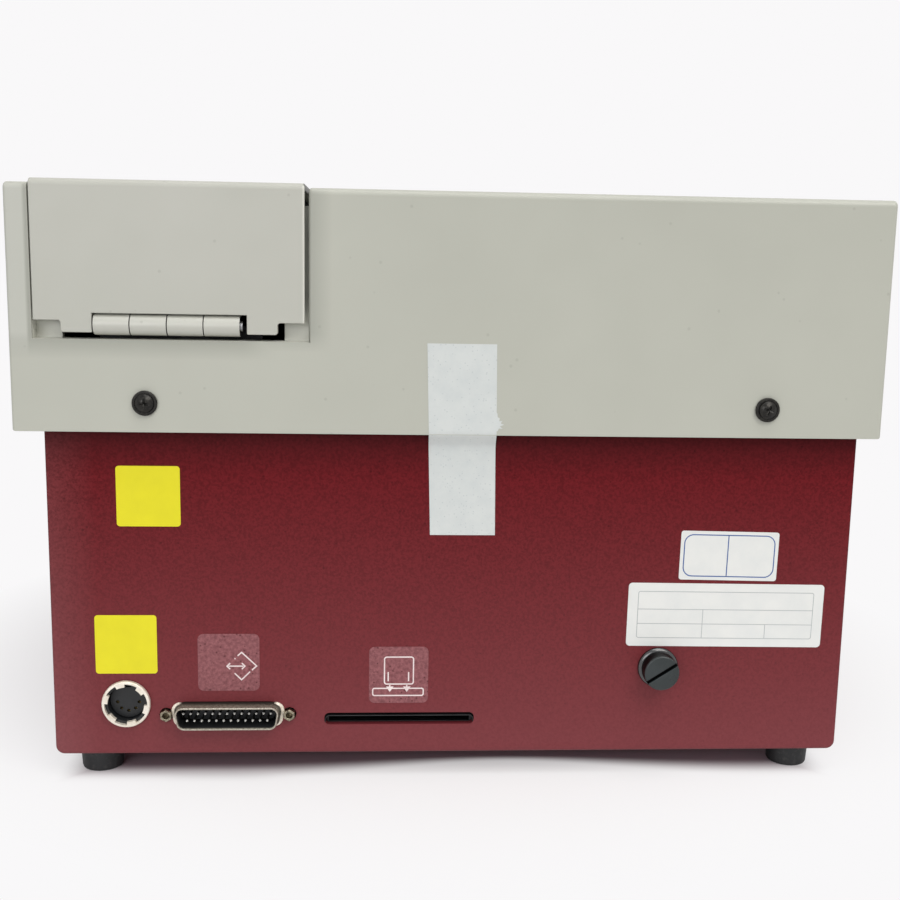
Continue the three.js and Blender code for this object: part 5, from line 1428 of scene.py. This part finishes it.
# %% [markdown]
# Two yellow labels, two frosted squares with a pictogram each, a small white plate with a blue frame, and a wide
# white plate with plain ruled cells.

# %% Labels on the base
FRAME_BOX, FRAME_TURN = (-126.4, -87.9, 79.3, 98.7), 1.0
RATING_BOX, RATING_TURN = (-145.7, -68.3, 52.5, 77.9), 0.6
FRAME_LINE, FRAME_INSET, FRAME_CORNER, DIVIDER_X = 0.42, 3.0, 3.4, 0.6
RATING_LINE, RATING_SIDE, RATING_END, RATING_CORNER = 0.26, 4.0, 3.4, 0.8
ROW_HIGH, ROW_LOW, COLUMN_LEFT, COLUMN_RIGHT = 2.2, -3.6, -16.0, 9.0
label("yellow_label_upper", (102.6, 126.2, 99.7, 122.7), 1.2, yellow_label)
label("yellow_label_lower", (112.4, 135.6, 42.1, 65.2), 1.2, yellow_label)
label("frosted_label_serial", (73.7, 97.1, 35.1, 57.8), 2.2, frosted_label)
label("frosted_label_card", (8.8, 31.7, 29.9, 52.6), 2.2, frosted_label)
label("white_label_framed", FRAME_BOX, 1.0, white_label, FRAME_TURN)
label("white_label_rating", RATING_BOX, 1.5, white_label, RATING_TURN)

middle, (wide, high) = middle_and_size(FRAME_BOX)
wide, high = wide - FRAME_INSET, high - FRAME_INSET
blue = bmesh.new()
stroke(blue, around(outline_of(rectangle(wide, high), FRAME_CORNER), middle, FRAME_TURN), FRAME_LINE, True)
stroke(blue, around([(DIVIDER_X, -high / 2), (DIVIDER_X, high / 2)], middle, FRAME_TURN), FRAME_LINE)
piece("blue_frame_print", blue, blue_ink, "base")

middle, (wide, high) = middle_and_size(RATING_BOX)
half_w, half_h = wide / 2 - RATING_SIDE, high / 2 - RATING_END
rim = outline_of(rectangle(2 * half_w, 2 * half_h), RATING_CORNER)
rules = bmesh.new()
stroke(rules, around(rim, middle, RATING_TURN), RATING_LINE, True)
for line in (
    [(-half_w, ROW_HIGH), (half_w, ROW_HIGH)], [(-half_w, ROW_LOW), (half_w, ROW_LOW)],
    [(COLUMN_RIGHT, ROW_HIGH), (COLUMN_RIGHT, -half_h)], [(COLUMN_LEFT, ROW_LOW), (COLUMN_LEFT, -half_h)],
):
    stroke(rules, around(line, middle, RATING_TURN), RATING_LINE)
piece("rating_plate_rules", rules, grey_ink, "base")
print("labels made")

# %% [markdown]
# The pictograms are white screen print: a plug turning into its socket, with a double arrow, over the serial
# socket; and a card going down into a slot over the card slot.

# %% Pictograms
ARROW_SIZE = 1.2
CARD_X, CARD_SIDE, CARD_TIP = 20.35, 3.95, 3.3


def arrow_head(bm, tip, way):
    """Two short strokes that meet at a tip and point along X."""
    x, z = tip
    back = x - way * ARROW_SIZE
    stroke(bm, [(back, z + way * ARROW_SIZE), tip, (back, z - way * ARROW_SIZE)])


serial_print = bmesh.new()
arrow_head(serial_print, (86.08, 44.96), 1)
arrow_head(serial_print, (79.24, 44.96), -1)
for line in (
    [(79.9, 44.96), (85.5, 44.96)],
    [(82.0, 49.1), (80.45, 50.45), (74.8, 45.0), (76.6, 43.35)],
    [(77.3, 42.75), (80.56, 39.5), (83.2, 42.1)],
    [(83.2, 48.1), (82.8, 47.8)],
):
    stroke(serial_print, line)
piece("serial_pictogram", serial_print, white_ink, "base")

card_print = bmesh.new()
stroke(card_print, around(outline_of(rectangle(11.2, 10.9), 0.9), (CARD_X - 0.2, 43.0)), closed=True)
stroke(card_print, around(outline_of(rectangle(19.6, 2.9), 0.7), (CARD_X + 0.1, 34.35)), closed=True)
for side in (-1, 1):
    edge, tip = CARD_X + CARD_SIDE * side, CARD_X + CARD_TIP * side
    stroke(card_print, [(edge, 42.4), (edge, 38.7)])
    stroke(card_print, [(tip, 37.5), (tip, 36.0)])
    point = [(-1.45, 1.1), (0, -1.1), (1.45, 1.1)]
    slab(card_print, point, REAR_OF_BASE + 0.06, REAR_OF_BASE + 0.155, (tip, 35.45))
piece("card_pictogram", card_print, white_ink, "base")
print("pictograms made")

# %% [markdown]
# A white paper seal runs from the top housing down over the seam. It is one strip that follows the cover, rounds
# its lower edge, bridges the step to the base and lies down on it, and its edge is torn where it was once pulled.

# %% Seal strip
REAR_OF_COVER = 178.0
SEAL_TOP, SEAL_END = 169.9, 96.9
SEAL_PATH = [
    (REAR_OF_COVER, SEAL_TOP), (REAR_OF_COVER, 150.0), (REAR_OF_COVER, 138.0), (REAR_OF_COVER, 136.7),
    (177.8, 135.9), (177.2, 135.1), (174.9, 132.4), (174.35, 131.6), (174.1, 130.6),
    (REAR_OF_BASE, 129.0), (REAR_OF_BASE, 112.0), (REAR_OF_BASE, SEAL_END),
]
SEAL_MM, TORN_MM, TORN_MIDDLE = 0.14, 0.1, (-14.95, 140.6)
TORN_EDGE = [
    (0.4, -3.4), (-0.6, -2.9), (-0.9, -2.0), (-2.4, -2.1), (-1.3, -1.2), (-2.9, -0.6), (-1.6, -0.1),
    (-2.2, 0.9), (-1.0, 0.7), (-1.2, 1.9), (-0.4, 2.2), (-0.3, 3.6), (0.4, 4.2),
]


def seal_sides(z):
    """The strip leans a little: its two sides at a height."""
    down = (SEAL_TOP - z) / (SEAL_TOP - SEAL_END)
    return -14.5 - 1.3 * down, 11.2 - 2.2 * down


def strip(bm, path, thickness):
    """A band of paper along a path of (y, z)."""
    rings = []
    for i, (y, z) in enumerate(path):
        before, after = path[max(i - 1, 0)], path[min(i + 1, len(path) - 1)]
        along = Vector((after[0] - before[0], after[1] - before[1])).normalized()
        out = Vector((-along.y, along.x))
        low, high = seal_sides(z)
        corners = ((low, 0), (low, thickness), (high, thickness), (high, 0))
        rings.append([bm.verts.new((MM * x, MM * (y + out.x * lift), MM * (z + out.y * lift))) for x, lift in corners])
    skin(bm, rings)


piece("paper_seal", shape_of(strip, SEAL_PATH, SEAL_MM), seal_label, "base")
torn = shape_of(slab, TORN_EDGE, REAR_OF_COVER, REAR_OF_COVER + TORN_MM, TORN_MIDDLE)
piece("paper_seal_torn_edge", torn, seal_label, "base")
print("seal strip made")

# %% [markdown]
# The box of the visual model is printed beside the box of the CAD model. The visual model must stay
# in the box of the CAD model.

# %% Boxes
visual_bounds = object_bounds()
for title, (low, high) in (("CAD", cad_bounds), ("visual", visual_bounds)):
    print(title, [round(1000 * (b - a), 2) for a, b in zip(low, high)], "mm")
